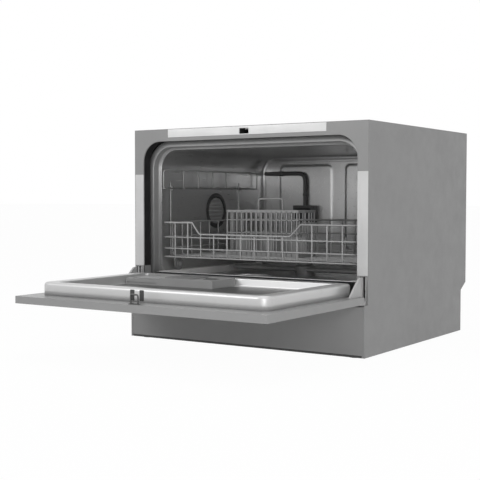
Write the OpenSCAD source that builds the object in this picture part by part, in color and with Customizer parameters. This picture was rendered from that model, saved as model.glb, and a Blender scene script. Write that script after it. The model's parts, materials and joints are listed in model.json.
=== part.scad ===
/* [Cabinet] */
// Overall width over the side panels
body_w = 550; // [530:1:580]
// Depth from the plinth front to the back
body_d = 500; // [480:1:530]
// Overall height from the surface to the top
body_h = 438; // [425:1:455]
// Thickness of the painted sheet panels
sheet_t = 1; // [0.8:0.1:1.4]
// Height of the panels above the surface
foot_show = 2.5; // [1.5:0.5:6]
// Height of the plinth zone below the door
plinth_h = 99; // [92:1:104]
// Depth of the recess low on the back
back_recess = 28; // [20:1:34]
// Height where the back recess starts
back_step_z = 108; // [100:1:115]
// Radius of a foot
foot_r = 15; // [12:1:20]
// Inset of the feet from the side panels
foot_inset = 30; // [24:1:45]

/* [Frame] */
// Width of the frame beside the opening
frame_side_w = 23; // [21:0.5:25]
// Height of the frame above the opening
frame_top_w = 25; // [22:1:28]
// Thickness of the frame
frame_t = 2.5; // [2:0.5:4]
// Corner radius of the opening
opening_r = 42; // [30:1:55]
// Depth of the pockets for the trims
trim_t = 1.5; // [1:0.1:1.5]
// Half length of the white top trim
trim_half = 187; // [150:1:200]
// Height where the white side trims end at the top
trim_top_z = 345; // [300:1:365]
// Height where the white side trims end at the bottom
trim_low_z = 152; // [150:1:170]
// Thickness of the black door seal
seal_t = 5.5; // [4:0.5:5.5]

/* [Door] */
// Thickness of the outer door panel
door_t = 13.5; // [12:0.5:16]
// Gap between the closed door and the frame
door_gap = 0.5; // [0.5:0.1:1.5]
// Distance of the hinge axis from the outer door face
hinge_inset = 1.25; // [1:0.25:2]
// Gap between the plinth zone and the open door
door_rise = 2.5; // [2.5:0.1:3.5]
// Side margin between the door edge and the liner
liner_side = 25; // [25:0.5:30]
// Margin between the free edge and the liner
liner_free = 40; // [35:1:48]
// Height of the liner rim above the door panel
liner_h = 24.3; // [20:0.1:26]
// Width of the liner rim
rim_w = 30; // [30:1:36]
// Corner radius of the liner at the free edge
liner_r = 20; // [6:1:45]
// Height of the recess floor above the door panel
recess_h = 7; // [5:0.5:9]
// Corner radius of the liner recess
recess_r = 10; // [4:1:16]
// Radius of the hinge pins
pin_r = 2; // [1.5:0.1:2.2]
// Radius of the hinge eyes
eye_r = 4.6; // [4:0.1:5]
// Thickness of the hinge arms
arm_t = 4; // [3:0.5:5]

/* [Controls] */
// Radius of the push buttons
button_r = 6; // [5:0.5:8]
// Spacing of the programme buttons
button_pitch = 34; // [24:1:40]
// Depth of the control strip on the door
fascia_d = 50; // [40:1:60]
// Travel of a push button
button_travel = 1.2; // [0.8:0.1:1.5]

/* [Tub] */
// Distance from the cabinet side to the inside of the tub
tub_side = 37; // [35:0.5:44]
// Distance from the cabinet top to the tub ceiling
tub_top = 42; // [40:1:52]
// Distance from the cabinet back to the inside of the tub
tub_rear = 35; // [30:1:50]
// Height of the tub floor
tub_floor_z = 125; // [120:1:127]
// Thickness of the tub sheet
tub_t = 1; // [0.8:0.1:1.4]
// Depth of the wider collar at the tub mouth
collar_d = 20.5; // [15:0.5:26]
// How much wider the collar is than the tub
collar_out = 6; // [4:0.5:8]
// Radius of the round vent cap on the left wall
vent_r = 40; // [30:1:46]
// Radius of the sump opening
sump_r = 56; // [48:1:58]

/* [Basket] */
// Radius of the basket wires
wire_r = 1.6; // [1.3:0.1:2]
// Height of the basket floor wires
basket_z = 170; // [169:1:176]
// Height of the basket top rail
basket_top = 243; // [235:1:250]
// Height of the dip in the front rail
basket_dip = 219; // [216:1:226]
// Gap between the basket and the tub walls
basket_gap = 5; // [4.6:0.1:8]
// Spacing of the upright wires
wire_step = 33; // [28:1:45]
// Radius of the basket wheels
wheel_r = 13; // [11:0.5:13.5]
// Height of the raised cup shelf
shelf_h = 39; // [30:1:45]
// Height of the cup shelf pivot
shelf_z = 316; // [300:1:325]
// Length of the spray arm
spray_len = 370; // [320:1:390]
// Height of the cutlery basket
cutlery_h = 98; // [80:1:105]

/* [Hidden] */

// Facets of a smooth round shape and of a thin wire
smooth = 48;
wire_fn = 8;
// Clearances: running fit, seam between pieces, and room around a moving piece
fit = 0.05;
seam = 0.3;
room = 1;
// Overshoot of a cut past the face that it opens
cut = 1;

// Cabinet planes
half_w = body_w / 2;
front_y = -body_d / 2;
back_y = body_d / 2;
inner_x = half_w - sheet_t;
top_under = body_h - sheet_t;
rear_low_y = back_y - back_recess;
rear_set = 1.5;
pan_z = foot_show + 2;

// Frame and opening
frame_y = front_y + door_t + door_gap;
frame_back_y = frame_y + frame_t;
open_x = half_w - frame_side_w;
open_top = body_h - frame_top_w;
frame_low_z = plinth_h - 2.5;
open_low = plinth_h + 8.5;

// Door hinge: the closed door is flush with the plinth and the top
door_out_z = plinth_h + door_rise;
door_in_z = door_out_z + door_t;
hinge_y = front_y + hinge_inset;
hinge_z = door_out_z + hinge_inset;
door_free_y = hinge_y - (body_h - hinge_z);
door_end_y = front_y;
liner_top_z = door_in_z + liner_h;
liner_free_y = door_free_y + liner_free;
liner_end_y = front_y - 5;
liner_x = half_w - liner_side;
recess_z = door_in_z + recess_h;
// Depth that the closed liner reaches, and height of its closed top
liner_closed_y = hinge_y + liner_top_z - hinge_z;
liner_closed_low = hinge_z + hinge_y - liner_end_y;

// Tub planes
mouth_y = liner_closed_y + 0.7;
tub_x = half_w - tub_side;
ceiling_z = body_h - tub_top;
tub_back_y = back_y - tub_rear;
sill_z = liner_top_z - 0.3;
collar_back_y = mouth_y + collar_d;
collar_x = tub_x + collar_out;
collar_z = ceiling_z + collar_out;
seal_x = open_x + seal_t;
seal_top = open_top + seal_t;
tub_r = opening_r - 2;

// Hinge places along x, mirrored to both sides
arm_x = half_w - 10 - arm_t / 2;
ear_t = 3.4;
ear_gap = 0.4;
hinge_zone = arm_t + 2 * (ear_t + ear_gap);
slot_x = arm_x - 0.7 + (arm_t - hinge_zone) / 2;
slot_w = hinge_zone + 1.4;
slot_top = plinth_h + 52;
lever_len = 40;
lever_h = 8;

// Latch
latch_x = 2;
latch_z = body_h - 10.5;
latch_half = 11;
staple_half = 9.5;
staple_t = 3;
staple_y = hinge_y - (latch_z - hinge_z);

// Basket
basket_x = tub_x - basket_gap;
basket_front = mouth_y + 17;
basket_back = tub_back_y - 30;
wheel_gap = 0.3;
axle_z = liner_top_z + wheel_gap + wheel_r;
axle_r = 3;
wheel_w = 6;
wheel_x = basket_x - 8;
wheel_y = 150;
tine_top = 214;
shelf_x = basket_x - 3;
shelf_front = basket_front - 2;
shelf_back = 175;
shelf_bars = 3;
shelf_step = 55;
post_front_y = -166;
post_rear_y = 98;
post_x = basket_x + 0.5;
post_r = 1.4;

// The source draws the cabinet about x = 0 and y = 0, and this moves it all to the middle of the open machine
origin_shift = -(door_free_y + back_y) / 2;

module placed() {
    translate([0, origin_shift, 0])
    children();
}

// A block between two corners given per axis
module block(x, y, z) {
    translate([x[0], y[0], z[0]])
    cube([x[1] - x[0], y[1] - y[0], z[1] - z[0]]);
}

// An outline in x and z, pushed along y
module along_y(y) {
    translate([0, y[1], 0])
    rotate([90, 0, 0])
    linear_extrude(y[1] - y[0])
    children();
}

// An outline in y and z, pushed along x
module along_x(x) {
    translate([x[0], 0, 0])
    rotate([90, 0, 90])
    linear_extrude(x[1] - x[0])
    children();
}

// An outline in x and y, pushed along z
module along_z(z) {
    translate([0, 0, z[0]])
    linear_extrude(z[1] - z[0])
    children();
}

// A round bar along each axis, centred on the given point
module bar_x(x, y, z, r) {
    translate([x[0], y, z])
    rotate([0, 90, 0])
    cylinder(r = r, h = x[1] - x[0], $fn = smooth);
}

module bar_y(x, y, z, r) {
    translate([x, y[0], z])
    rotate([-90, 0, 0])
    cylinder(r = r, h = y[1] - y[0], $fn = smooth);
}

module bar_z(x, y, z, r) {
    translate([x, y, z[0]])
    cylinder(r = r, h = z[1] - z[0], $fn = smooth);
}

// A straight wire between two points
module wire(a, b, r = wire_r) {
    d = b - a;
    translate(a)
    rotate([0, acos(d[2] / norm(d)), atan2(d[1], d[0])])
    cylinder(r = r, h = norm(d), $fn = wire_fn);
}

// A copy on the left and one on the right
module both_sides() {
    children();
    mirror([1, 0, 0])
    children();
}

// A doorway outline with round upper corners
module arch(half, low, top, r) {
    translate([-half, low])
    square([2 * half, top - low - r]);
    translate([-half + r, low])
    square([2 * (half - r), top - low]);
    for (s = [-1, 1])
        translate([s * (half - r), top - r])
        circle(r, $fn = smooth);
}

// A plate outline with four round corners
module round_rect(x, y, r) {
    translate([x[0] + r, y[0]])
    square([x[1] - x[0] - 2 * r, y[1] - y[0]]);
    translate([x[0], y[0] + r])
    square([x[1] - x[0], y[1] - y[0] - 2 * r]);
    for (cx = [x[0] + r, x[1] - r], cy = [y[0] + r, y[1] - r])
        translate([cx, cy])
        circle(r, $fn = smooth);
}

// The stepped side outline of the cabinet
module side_outline() {
    polygon([[front_y, foot_show], [rear_low_y, foot_show], [rear_low_y, back_step_z - 16],
        [back_y, back_step_z], [back_y, top_under], [frame_y, top_under],
        [frame_y, plinth_h], [front_y, plinth_h]]);
}

// A steel side panel with a return flange at its back edge
module side_panel() {
    along_x([inner_x, half_w])
    side_outline();
    block([inner_x - 8, inner_x], [back_y - rear_set - 1 - sheet_t, back_y - rear_set - sheet_t],
        [back_step_z + 4, top_under - 6]);
}

module side_panel_right() {
    color("gray")
    placed()
    side_panel();
}

module side_panel_left() {
    color("gray")
    placed()
    mirror([1, 0, 0])
    side_panel();
}

module top_cover() {
    color("gray")
    placed() {
        block([-half_w, half_w], [frame_y, back_y], [top_under, body_h]);
        both_sides()
        block([inner_x - 1 - sheet_t, inner_x - 1], [frame_back_y + 4, back_y - 8], [top_under - 9, top_under]);
    }
}

// The back sheet follows the recess low on the back
module rear_panel() {
    out = back_y - rear_set;
    color("silver")
    placed()
    difference() {
        along_x([-inner_x, inner_x])
        polygon([[out - sheet_t, top_under], [out, top_under], [out, back_step_z + 1],
            [rear_low_y, back_step_z - 15], [rear_low_y, pan_z + 14],
            [rear_low_y - sheet_t, pan_z + 14], [rear_low_y - sheet_t, back_step_z - 14.4],
            [out - sheet_t, back_step_z + 1.6]]);
        bar_y(inlet_x, [rear_low_y - 9, back_y], inlet_z, inlet_r + room);
        bar_y(drain_x, [rear_low_y - 9, back_y], drain_z, drain_r + room);
        bar_y(gland_x, [rear_low_y - 9, back_y], gland_z, gland_r + seam);
        for (i = [0:vent_slots - 1])
            block([-vent_slot_w / 2, vent_slot_w / 2], [out - 9, back_y],
                [vent_slot_z + i * 12, vent_slot_z + i * 12 + 4]);
    }
}

// Connections low on the back
inlet_x = 170;
inlet_z = 56;
inlet_r = 13.2;
drain_x = 112;
drain_z = 46;
drain_r = 9;
gland_x = -180;
gland_z = 60;
gland_r = 9;
cable_r = 4;
port_len = 15;
vent_slots = 5;
vent_slot_w = 160;
vent_slot_z = 300;

// A moulded tray under the machinery, with a rim
module base_pan() {
    rim_h = 12;
    color("dimgray")
    placed()
    difference() {
        block([-inner_x, inner_x], [front_y + sheet_t, rear_low_y - sheet_t], [foot_show, pan_z + rim_h]);
        block([-inner_x + 2, inner_x - 2], [front_y + sheet_t + 2, rear_low_y - sheet_t - 2],
            [pan_z, pan_z + rim_h + cut]);
        foot_places()
        bar_z(0, 0, [0, pan_z + cut], stem_r + fit);
    }
}

stem_r = 4;

module foot_places() {
    for (sx = [-1, 1], y = [front_y + 25, rear_low_y - 27])
        translate([sx * (half_w - foot_inset), y, 0])
        children();
}

// Four screw feet, each with a pad and a stem
module levelling_feet() {
    color("black")
    placed()
    foot_places() {
        bar_z(0, 0, [0, foot_show], foot_r);
        bar_z(0, 0, [foot_show - 1, pan_z + 16], stem_r);
    }
}

module front_plinth() {
    color("dimgray")
    placed()
    difference() {
        union() {
            block([-inner_x, inner_x], [front_y, front_y + sheet_t], [foot_show + 4.5, frame_low_z]);
            block([-inner_x, inner_x], [front_y, frame_back_y], [frame_low_z - sheet_t, frame_low_z]);
        }
        both_sides()
        block([slot_x, slot_x + slot_w], [front_y + sheet_t, frame_back_y + cut],
            [frame_low_z - 9, frame_low_z + cut]);
    }
}

// The front frame: one arched opening, pockets for the trims, a slot for each hinge arm and a latch hole
module frame_outline() {
    difference() {
        translate([-inner_x, frame_low_z])
        square([2 * inner_x, top_under - frame_low_z]);
        arch(open_x, open_low, open_top, opening_r);
    }
}

module front_frame() {
    color("silver")
    placed()
    difference() {
        along_y([frame_y, frame_back_y])
        frame_outline();
        block([-trim_half, trim_half], [frame_y - cut, frame_y + trim_t], [open_top + 7, body_h]);
        both_sides() {
            block([open_x - cut, body_w], [frame_y - cut, frame_y + trim_t], [trim_low_z, trim_top_z]);
            block([slot_x, slot_x + slot_w], [frame_y - cut, frame_back_y + cut],
                [frame_low_z - cut, slot_top]);
        }
        latch_hole(frame_y - cut, frame_back_y + cut);
    }
}

module latch_hole(y0, y1) {
    block([latch_x - latch_half, latch_x + latch_half], [y0, y1], [latch_z - 5.5, latch_z + 5.5]);
}

module frame_trim_top() {
    color("white")
    placed()
    difference() {
        block([-trim_half + seam, trim_half - seam], [frame_y, frame_y + trim_t],
            [open_top + 7 + seam, top_under]);
        latch_hole(frame_y - cut, frame_back_y);
    }
}

module frame_trim_sides() {
    color("white")
    placed()
    both_sides()
    block([open_x, inner_x], [frame_y, frame_y + trim_t], [trim_low_z + seam, trim_top_z - seam]);
}

// The tub: a bent steel wrap with a wider collar at its mouth, a back wall and a floor
module tub_shell() {
    color("lightgray")
    placed()
    difference() {
        union() {
            along_y([mouth_y, mouth_y + tub_t])
            arch(seal_x, sill_z, seal_top, opening_r + seal_t);
            along_y([mouth_y, collar_back_y])
            arch(collar_x + tub_t, sill_z, collar_z + tub_t, tub_r + collar_out);
            along_y([collar_back_y - tub_t, tub_back_y])
            arch(tub_x + tub_t, floor_low_z, ceiling_z + tub_t, tub_r);
        }
        along_y([mouth_y - cut, collar_back_y - tub_t])
        arch(collar_x, floor_low_z - cut, collar_z, tub_r + collar_out - tub_t);
        along_y([collar_back_y - tub_t - cut, tub_back_y + cut])
        arch(tub_x, floor_low_z - cut, ceiling_z, tub_r - tub_t);
        bar_x([-tub_x - tub_t - cut, -tub_x + cut], vent_y, vent_z, vent_r - 8);
    }
}

floor_low_z = tub_floor_z - 1.5;

// The back wall with its pressed panels, which stand a little into the tub
module tub_back() {
    press = 2.5;
    color("lightgray")
    placed() {
        along_y([tub_back_y, tub_back_y + tub_t])
        arch(tub_x + tub_t, floor_low_z, ceiling_z + tub_t, tub_r);
        along_y([tub_back_y - press, tub_back_y])
        round_rect([-tub_x + 48, -42], [panel_low_z, ceiling_z - 19], 14);
        along_y([tub_back_y - press, tub_back_y])
        round_rect([-10, tub_x - 30], [panel_low_z, ceiling_z - 19], 14);
    }
}

panel_low_z = 172;

// The floor in y and z: sill, slope, bed and rear rise
module floor_outline() {
    polygon([[mouth_y, sill_low], [mouth_y, sill_z], [mouth_y + sill_w, sill_z],
        [mouth_y + 24, tub_floor_z], [tub_back_y - 30, tub_floor_z], [tub_back_y, tub_floor_z + 20],
        [tub_back_y, tub_floor_z + 18], [tub_back_y - 29.5, floor_low_z],
        [mouth_y + 22.8, floor_low_z], [mouth_y + sill_w - 1, sill_z - 1.5],
        [mouth_y + 1.5, sill_z - 1.5], [mouth_y + 1.5, sill_low]]);
}

sill_w = 9;
sill_low = liner_closed_low - 9;

// The floor: a raised front sill, a flat bed with its openings, and a rise to the back wall
module tub_floor() {
    color("lightgray")
    placed()
    difference() {
        union() {
            along_x([-tub_x, tub_x])
            floor_outline();
            along_x([-collar_x, collar_x])
            intersection() {
                floor_outline();
                translate([mouth_y, 0])
                square([collar_d - tub_t, sill_z]);
            }
        }
        bar_z(sump_at[0], sump_at[1], [floor_low_z - cut, tub_floor_z + cut], sump_r);
        bar_z(hub_at[0], hub_at[1], [floor_low_z - cut, tub_floor_z + cut], hub_r + fit);
        bar_z(salt_at[0], salt_at[1], [floor_low_z - cut, tub_floor_z + cut], salt_r + fit);
        bar_z(float_at[0], float_at[1], [floor_low_z - cut, tub_floor_z + cut], float_stem_r + 2 * fit);
    }
}

// Places on the tub floor
sump_at = [-100, -70];
hub_at = [0, 10];
hub_r = 12;
salt_at = [130, 95];
salt_r = 22;
float_at = [150, -140];
float_stem_r = 3;
vent_y = 11;
vent_z = 266;

// The black seal between the frame and the tub mouth
module door_gasket() {
    color("black")
    placed()
    along_y([frame_back_y + 0.2, mouth_y - seam])
    difference() {
        arch(seal_x, trim_low_z, seal_top, opening_r + seal_t);
        arch(open_x, trim_low_z - cut, open_top, opening_r);
    }
}

module sill_seal() {
    color("black")
    placed()
    block([-tub_x + 6, tub_x - 6], [mouth_y - 9, mouth_y], [sill_low + 1, liner_closed_low - 0.6]);
}

// The vent cap low in its wall hole, with a raised rim
module vent_cap() {
    color("dimgray")
    placed()
    difference() {
        union() {
            bar_x([-tub_x, -tub_x + 2.2], vent_y, vent_z, vent_r);
            bar_x([-tub_x - 7, -tub_x + 1], vent_y, vent_z, vent_r - 8.2);
        }
        bar_x([-tub_x + 1.2, -tub_x + 3], vent_y, vent_z, vent_r - 6);
        for (i = [-3:3])
            block([-tub_x - 5, -tub_x + 3], [vent_y - 26, vent_y + 26],
                [vent_z + i * 7 - 1.5, vent_z + i * 7 + 1.5]);
    }
}

// The flat water tank between the tub and the left side panel
module air_break() {
    half_d = 95;
    low = vent_z - 85;
    top = vent_z + 60;
    wall = 2;
    color("whitesmoke")
    placed()
    difference() {
        block([-inner_x + 4, -tub_x - 7], [vent_y - half_d, vent_y + half_d], [low, top]);
        block([-inner_x + 4 + wall, -tub_x - 7 - wall], [vent_y - half_d + wall, vent_y + half_d - wall],
            [low + wall, top - wall]);
        bar_x([-tub_x - 11, -tub_x - 6], vent_y, vent_z, vent_r - 12);
    }
}

// The riser on the back wall: a block, a pipe up from it and a run to the left
riser_x = -113;
riser_r = 5;
riser_low = ceiling_z - 119;
riser_top = ceiling_z - 42;
riser_bend = 12;

module riser_block() {
    x = [riser_x - 25, riser_x + 31];
    front = riser_back_y - 24;
    low = riser_low - 40;
    wall = 3;
    color("#303030")
    placed()
    difference() {
        block(x, [front, riser_back_y], [low, riser_low]);
        block([x[0] + wall, x[1] - wall], [front + wall, riser_back_y + cut], [low + wall, riser_low - wall]);
    }
}

riser_back_y = tub_back_y - 2.5;

module riser_pipe() {
    y = riser_back_y - riser_r - 1;
    end_x = -tub_x + 9;
    color("#303030")
    placed() {
        bar_z(riser_x, y, [riser_low, riser_top - riser_bend], riser_r);
        translate([riser_x - riser_bend, y, riser_top - riser_bend])
        rotate([90, 0, 0])
        rotate_extrude(angle = 90, $fn = smooth)
        translate([riser_bend, 0])
        circle(riser_r, $fn = smooth);
        bar_x([end_x, riser_x - riser_bend], y, riser_top, riser_r);
        bar_y(end_x + riser_r, [y, tub_back_y], riser_top, riser_r - 1);
    }
}

// Ledges that carry the basket wheels, as high as the open door's rim
module runner_rails() {
    x = liner_x - rim_w;
    color("gainsboro")
    placed()
    both_sides() {
        block([x, tub_x], [mouth_y + sill_w + 2, tub_back_y - 32], [liner_top_z - 2, liner_top_z]);
        block([x, x + 2], [mouth_y + 24.5, tub_back_y - 32], [tub_floor_z, liner_top_z - 1]);
    }
}

// Below the floor: the sump with its flange and outlet
module sump() {
    color("dimgray")
    placed()
    translate([sump_at[0], sump_at[1], 0])
    difference() {
        union() {
            bar_z(0, 0, [sump_low_z, floor_low_z], sump_r + 2.5);
            bar_z(0, 0, [floor_low_z - 3, floor_low_z], sump_r + 14);
        }
        bar_z(0, 0, [sump_low_z + 3, floor_low_z + cut], sump_r);
        bar_x([sump_r - 2, sump_r + 3], pump_dy, pump_z, pipe_r);
        bar_x([-sump_r - 3, -sump_r + 2], 0, pump_z, pipe_r);
    }
}

sump_low_z = 56;
pump_z = 72;
pump_dy = 0;
pipe_r = 9;

// A ring of filter mesh that hangs in the sump opening, flush with the floor
module filter_plate() {
    color("silver")
    placed()
    translate([sump_at[0], sump_at[1], 0])
    difference() {
        union() {
            bar_z(0, 0, [tub_floor_z, tub_floor_z + 1.2], sump_r + 9);
            bar_z(0, 0, [tub_floor_z - 6, tub_floor_z + 1], sump_r - 1);
        }
        bar_z(0, 0, [tub_floor_z - 4.8, tub_floor_z + 3], sump_r - 2.5);
        bar_z(0, 0, [tub_floor_z - 8, tub_floor_z], filter_r + fit);
    }
}

filter_r = 30;

// The filter cup turns a quarter to lock
module filter_cup() {
    top = tub_floor_z + 2;
    color("lightgray")
    placed()
    translate([sump_at[0], sump_at[1], 0])
    difference() {
        union() {
            bar_z(0, 0, [sump_low_z + 12, tub_floor_z - 4.4], filter_r);
            bar_z(0, 0, [tub_floor_z - 4.7, tub_floor_z - 2.4], filter_r + 6);
            block([-filter_r + 6, filter_r - 6], [-2, 2], [tub_floor_z - 3, top]);
        }
        bar_z(0, 0, [sump_low_z + 14, tub_floor_z - 5.5], filter_r - 2);
        for (a = [0:30:150])
            rotate([0, 0, a])
            block([-filter_r - cut, filter_r + cut], [-2.5, 2.5], [sump_low_z + 20, tub_floor_z - 14]);
    }
}

// The softener tank behind the sump, with a neck up to the floor
module softener_tank() {
    x = [salt_at[0] - 62, salt_at[0] + 70];
    y = [salt_at[1] - 55, salt_at[1] + 60];
    top = floor_low_z - 10;
    wall = 3;
    color("whitesmoke")
    placed()
    difference() {
        union() {
            block(x, y, [pan_z, top]);
            bar_z(salt_at[0], salt_at[1], [top - 2, tub_floor_z + 2.5], salt_r);
        }
        block([x[0] + wall, x[1] - wall], [y[0] + wall, y[1] - wall], [pan_z + wall, top - wall]);
        bar_z(salt_at[0], salt_at[1], [top - 10, tub_floor_z + 4], salt_r - wall);
    }
}

module softener_cap() {
    color("white")
    placed()
    translate([salt_at[0], salt_at[1], 0]) {
        bar_z(0, 0, [tub_floor_z - 8, tub_floor_z + 3], salt_r - 3 - fit);
        bar_z(0, 0, [tub_floor_z + 2.5, tub_floor_z + 6.5], salt_r + 2);
        block([-salt_r + 6, salt_r - 6], [-2, 2], [tub_floor_z + 6, tub_floor_z + 7.6]);
    }
}

module float_cap() {
    color("white")
    placed()
    translate([float_at[0], float_at[1], 0]) {
        bar_z(0, 0, [floor_low_z - 22, tub_floor_z + 3], float_stem_r);
        difference() {
            bar_z(0, 0, [tub_floor_z + seam, tub_floor_z + 7], 13);
            bar_z(0, 0, [tub_floor_z - cut, tub_floor_z + 5], 11.5);
        }
        bar_z(0, 0, [tub_floor_z + 3, tub_floor_z + 6], float_stem_r);
    }
}

// The wash pump: volute, motor and a pipe from the sump, with a riser to the spray hub
pump_x0 = sump_at[0] + sump_r + 2.5;
volute_x = pump_x0 + 26;
volute_w = 34;
volute_r = 38;
motor_len = 72;
pump_y = sump_at[1] + pump_dy;

module wash_pump() {
    color("#404040")
    placed()
    difference() {
        union() {
            bar_x([pump_x0, volute_x + cut], pump_y, pump_z, pipe_r + 2.5);
            bar_x([volute_x, volute_x + volute_w], pump_y, pump_z, volute_r);
            bar_x([volute_x + volute_w - cut, volute_x + volute_w + motor_len], pump_y, pump_z, volute_r - 8);
            bar_y(volute_x + volute_w / 2, [pump_y + volute_r - 6, hub_at[1] - hub_r - seam], pump_z, pipe_r);
            block([volute_x + 4, volute_x + 12], [pump_y - 20, pump_y + 20], [pan_z, pump_z - 20]);
            block([volute_x + volute_w + motor_len - 12, volute_x + volute_w + motor_len - 4],
                [pump_y - 16, pump_y + 16], [pan_z, pump_z - 20]);
        }
        bar_x([pump_x0 - cut, volute_x + 4], pump_y, pump_z, pipe_r);
        bar_x([volute_x + 3, volute_x + volute_w - 3], pump_y, pump_z, volute_r - 3);
    }
}

module wash_impeller() {
    x0 = volute_x + 8;
    x1 = volute_x + volute_w - 5;
    color("white")
    placed()
    translate([0, pump_y, pump_z]) {
        bar_x([x1 - 3, x1], 0, 0, volute_r - 8);
        bar_x([x0, volute_x + volute_w - 3 - seam], 0, 0, 7);
        for (i = [0:5])
            rotate([60 * i, 0, 0])
            block([x0 + 3, x1 - 2], [-1, 1], [5, volute_r - 10]);
    }
}

// The flow heater between the pump and the spray hub
heater_r = 21;

module flow_heater() {
    x = [hub_at[0] - 60, hub_at[0] + 30];
    y = hub_at[1] + hub_r + heater_r + 1;
    leg_d = 15;
    color("silver")
    placed()
    difference() {
        union() {
            bar_x(x, y, pump_z, heater_r);
            bar_x([x[0] - 8, x[0] + 1], y, pump_z, heater_r - 9);
            bar_y(hub_at[0], [hub_at[1] + hub_r + seam, y - heater_r + 2], pump_z, 7);
            for (leg_x = [x[0] + 20, x[1] - 22])
                block([leg_x, leg_x + 6], [y - leg_d, y + leg_d], [pan_z, pump_z - 12]);
        }
        bar_x([x[0] + 3, x[1] - 3], y, pump_z, heater_r - 2.5);
    }
}

// The drain pump on the other side of the sump
module drain_pump() {
    x1 = sump_at[0] - sump_r - 2.5;
    color("#404040")
    placed()
    difference() {
        union() {
            bar_x([x1 - 14, x1], sump_at[1], pump_z, pipe_r + 2.5);
            bar_x([x1 - 34, x1 - 13], sump_at[1], pump_z, 26);
            bar_x([x1 - 84, x1 - 33], sump_at[1], pump_z, 20);
            block([x1 - 78, x1 - 70], [sump_at[1] - 14, sump_at[1] + 14], [pan_z, pump_z - 15]);
            bar_y(x1 - 24, [sump_at[1] + 20, sump_at[1] + 50], pump_z, 8);
        }
        bar_x([x1 - 32, x1 + cut], sump_at[1], pump_z, pipe_r);
        bar_y(x1 - 24, [sump_at[1], sump_at[1] + 51], pump_z, 6);
    }
}

// The water valve with its threaded port through the back
module inlet_valve() {
    color("white")
    placed()
    difference() {
        union() {
            block([inlet_x - 21, inlet_x + 21], [rear_low_y - 40, rear_low_y - 6], [inlet_z - 20, inlet_z + 22]);
            bar_y(inlet_x, [rear_low_y - 8, rear_low_y + port_len], inlet_z, inlet_r);
            bar_z(inlet_x, rear_low_y - 23, [inlet_z + 20, inlet_z + 42], 12);
            block([inlet_x - 5, inlet_x + 5], [rear_low_y - 36, rear_low_y - 10], [pan_z, inlet_z - 19]);
        }
        bar_y(inlet_x, [rear_low_y - 20, rear_low_y + port_len + cut], inlet_z, inlet_r - 4);
    }
}

module drain_outlet() {
    color("#404040")
    placed()
    difference() {
        union() {
            bar_y(drain_x, [rear_low_y - 30, rear_low_y + port_len], drain_z, drain_r);
            bar_y(drain_x, [rear_low_y - 4, rear_low_y - sheet_t], drain_z, drain_r + 5);
            bar_z(drain_x, rear_low_y - 24, [pan_z, drain_z], 5);
        }
        bar_y(drain_x, [rear_low_y - 26, rear_low_y + port_len + cut], drain_z, drain_r - 2);
    }
}

module cable_gland() {
    color("black")
    placed()
    difference() {
        union() {
            bar_y(gland_x, [rear_low_y - 7, rear_low_y + 6], gland_z, gland_r);
            bar_y(gland_x, [rear_low_y, rear_low_y + 3], gland_z, gland_r + 4);
            bar_y(gland_x, [rear_low_y - 5, rear_low_y - sheet_t], gland_z, gland_r + 2);
        }
        bar_y(gland_x, [rear_low_y - 8, rear_low_y + 7], gland_z, cable_r);
    }
}

// The latch box behind the hole in the frame, and the catch that drops in front of the striker's bar
latch_low = seal_top + 1;

module latch_body() {
    top = top_under - 0.5;
    color("#202020")
    placed()
    difference() {
        block([latch_x - 18, latch_x + 18], [frame_back_y + 0.2, frame_back_y + 40], [latch_low, top]);
        block([latch_x - latch_half, latch_x + latch_half], [frame_back_y - cut, frame_back_y + 36],
            [latch_z - 5.5, top - 1.5]);
        bar_x([latch_x - 19, latch_x + 19], frame_back_y + 29, latch_pin_z, axle_small + fit);
    }
}

axle_small = 1.5;
latch_pin_z = latch_z + 4.8;

module latch_catch() {
    color("white")
    placed() {
        block([latch_x - 4, latch_x + 4], [staple_close_y - 6, frame_back_y + 31], [latch_z + 4.2, latch_z + 6.7]);
        block([latch_x - 4, latch_x + 4], [staple_close_y - 6, staple_close_y - 3.6],
            [latch_z + 4, latch_z + 5]);
        bar_x([latch_x - 17.5, latch_x + 17.5], frame_back_y + 29, latch_pin_z, axle_small);
    }
}

// Where the striker's cross bar stops when the door is shut
staple_h = 18;
staple_close_y = hinge_y + door_in_z + staple_h - hinge_z;

module latch_striker() {
    y = [staple_y - 3, staple_y + 3];
    color("#404040")
    placed() {
        for (s = [-1, 1])
            block([latch_x + s * (staple_half - staple_t / 2) - staple_t / 2,
                latch_x + s * (staple_half - staple_t / 2) + staple_t / 2], y, [door_in_z, door_in_z + staple_h]);
        block([latch_x - staple_half, latch_x + staple_half], y,
            [door_in_z + staple_h - staple_t, door_in_z + staple_h]);
        block([latch_x - staple_half - 1, latch_x + staple_half + 1], [staple_y - 4.5, staple_y + 4.5],
            [door_in_z, door_in_z + 1]);
    }
}

// One hinge bracket: two ears around the arm, tied by a bridge behind the frame
module hinge_brackets() {
    bridge_z = slot_top + 4;
    ear_back = frame_back_y + 3.5;
    color("silver")
    placed()
    both_sides() {
        for (x = [arm_x - ear_gap - ear_t, arm_x + arm_t + ear_gap])
            difference() {
                union() {
                    bar_x([x, x + ear_t], hinge_y, hinge_z, eye_r);
                    block([x, x + ear_t], [hinge_y, ear_back], [hinge_z - eye_r, hinge_z + 4]);
                    block([x, x + ear_t], [frame_back_y + seam, ear_back], [hinge_z - eye_r, bridge_z + 10]);
                }
                bar_x([x - cut, x + ear_t + cut], hinge_y, hinge_z, pin_r);
            }
        block([arm_x - ear_gap - ear_t, arm_x + arm_t + ear_gap + ear_t],
            [frame_back_y + seam, ear_back], [bridge_z, bridge_z + 10]);
    }
}

module hinge_pins() {
    color("darkgray")
    placed()
    both_sides()
    bar_x([arm_x - ear_gap - ear_t, arm_x + arm_t + ear_gap + ear_t], hinge_y, hinge_z, pin_r);
}

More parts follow.
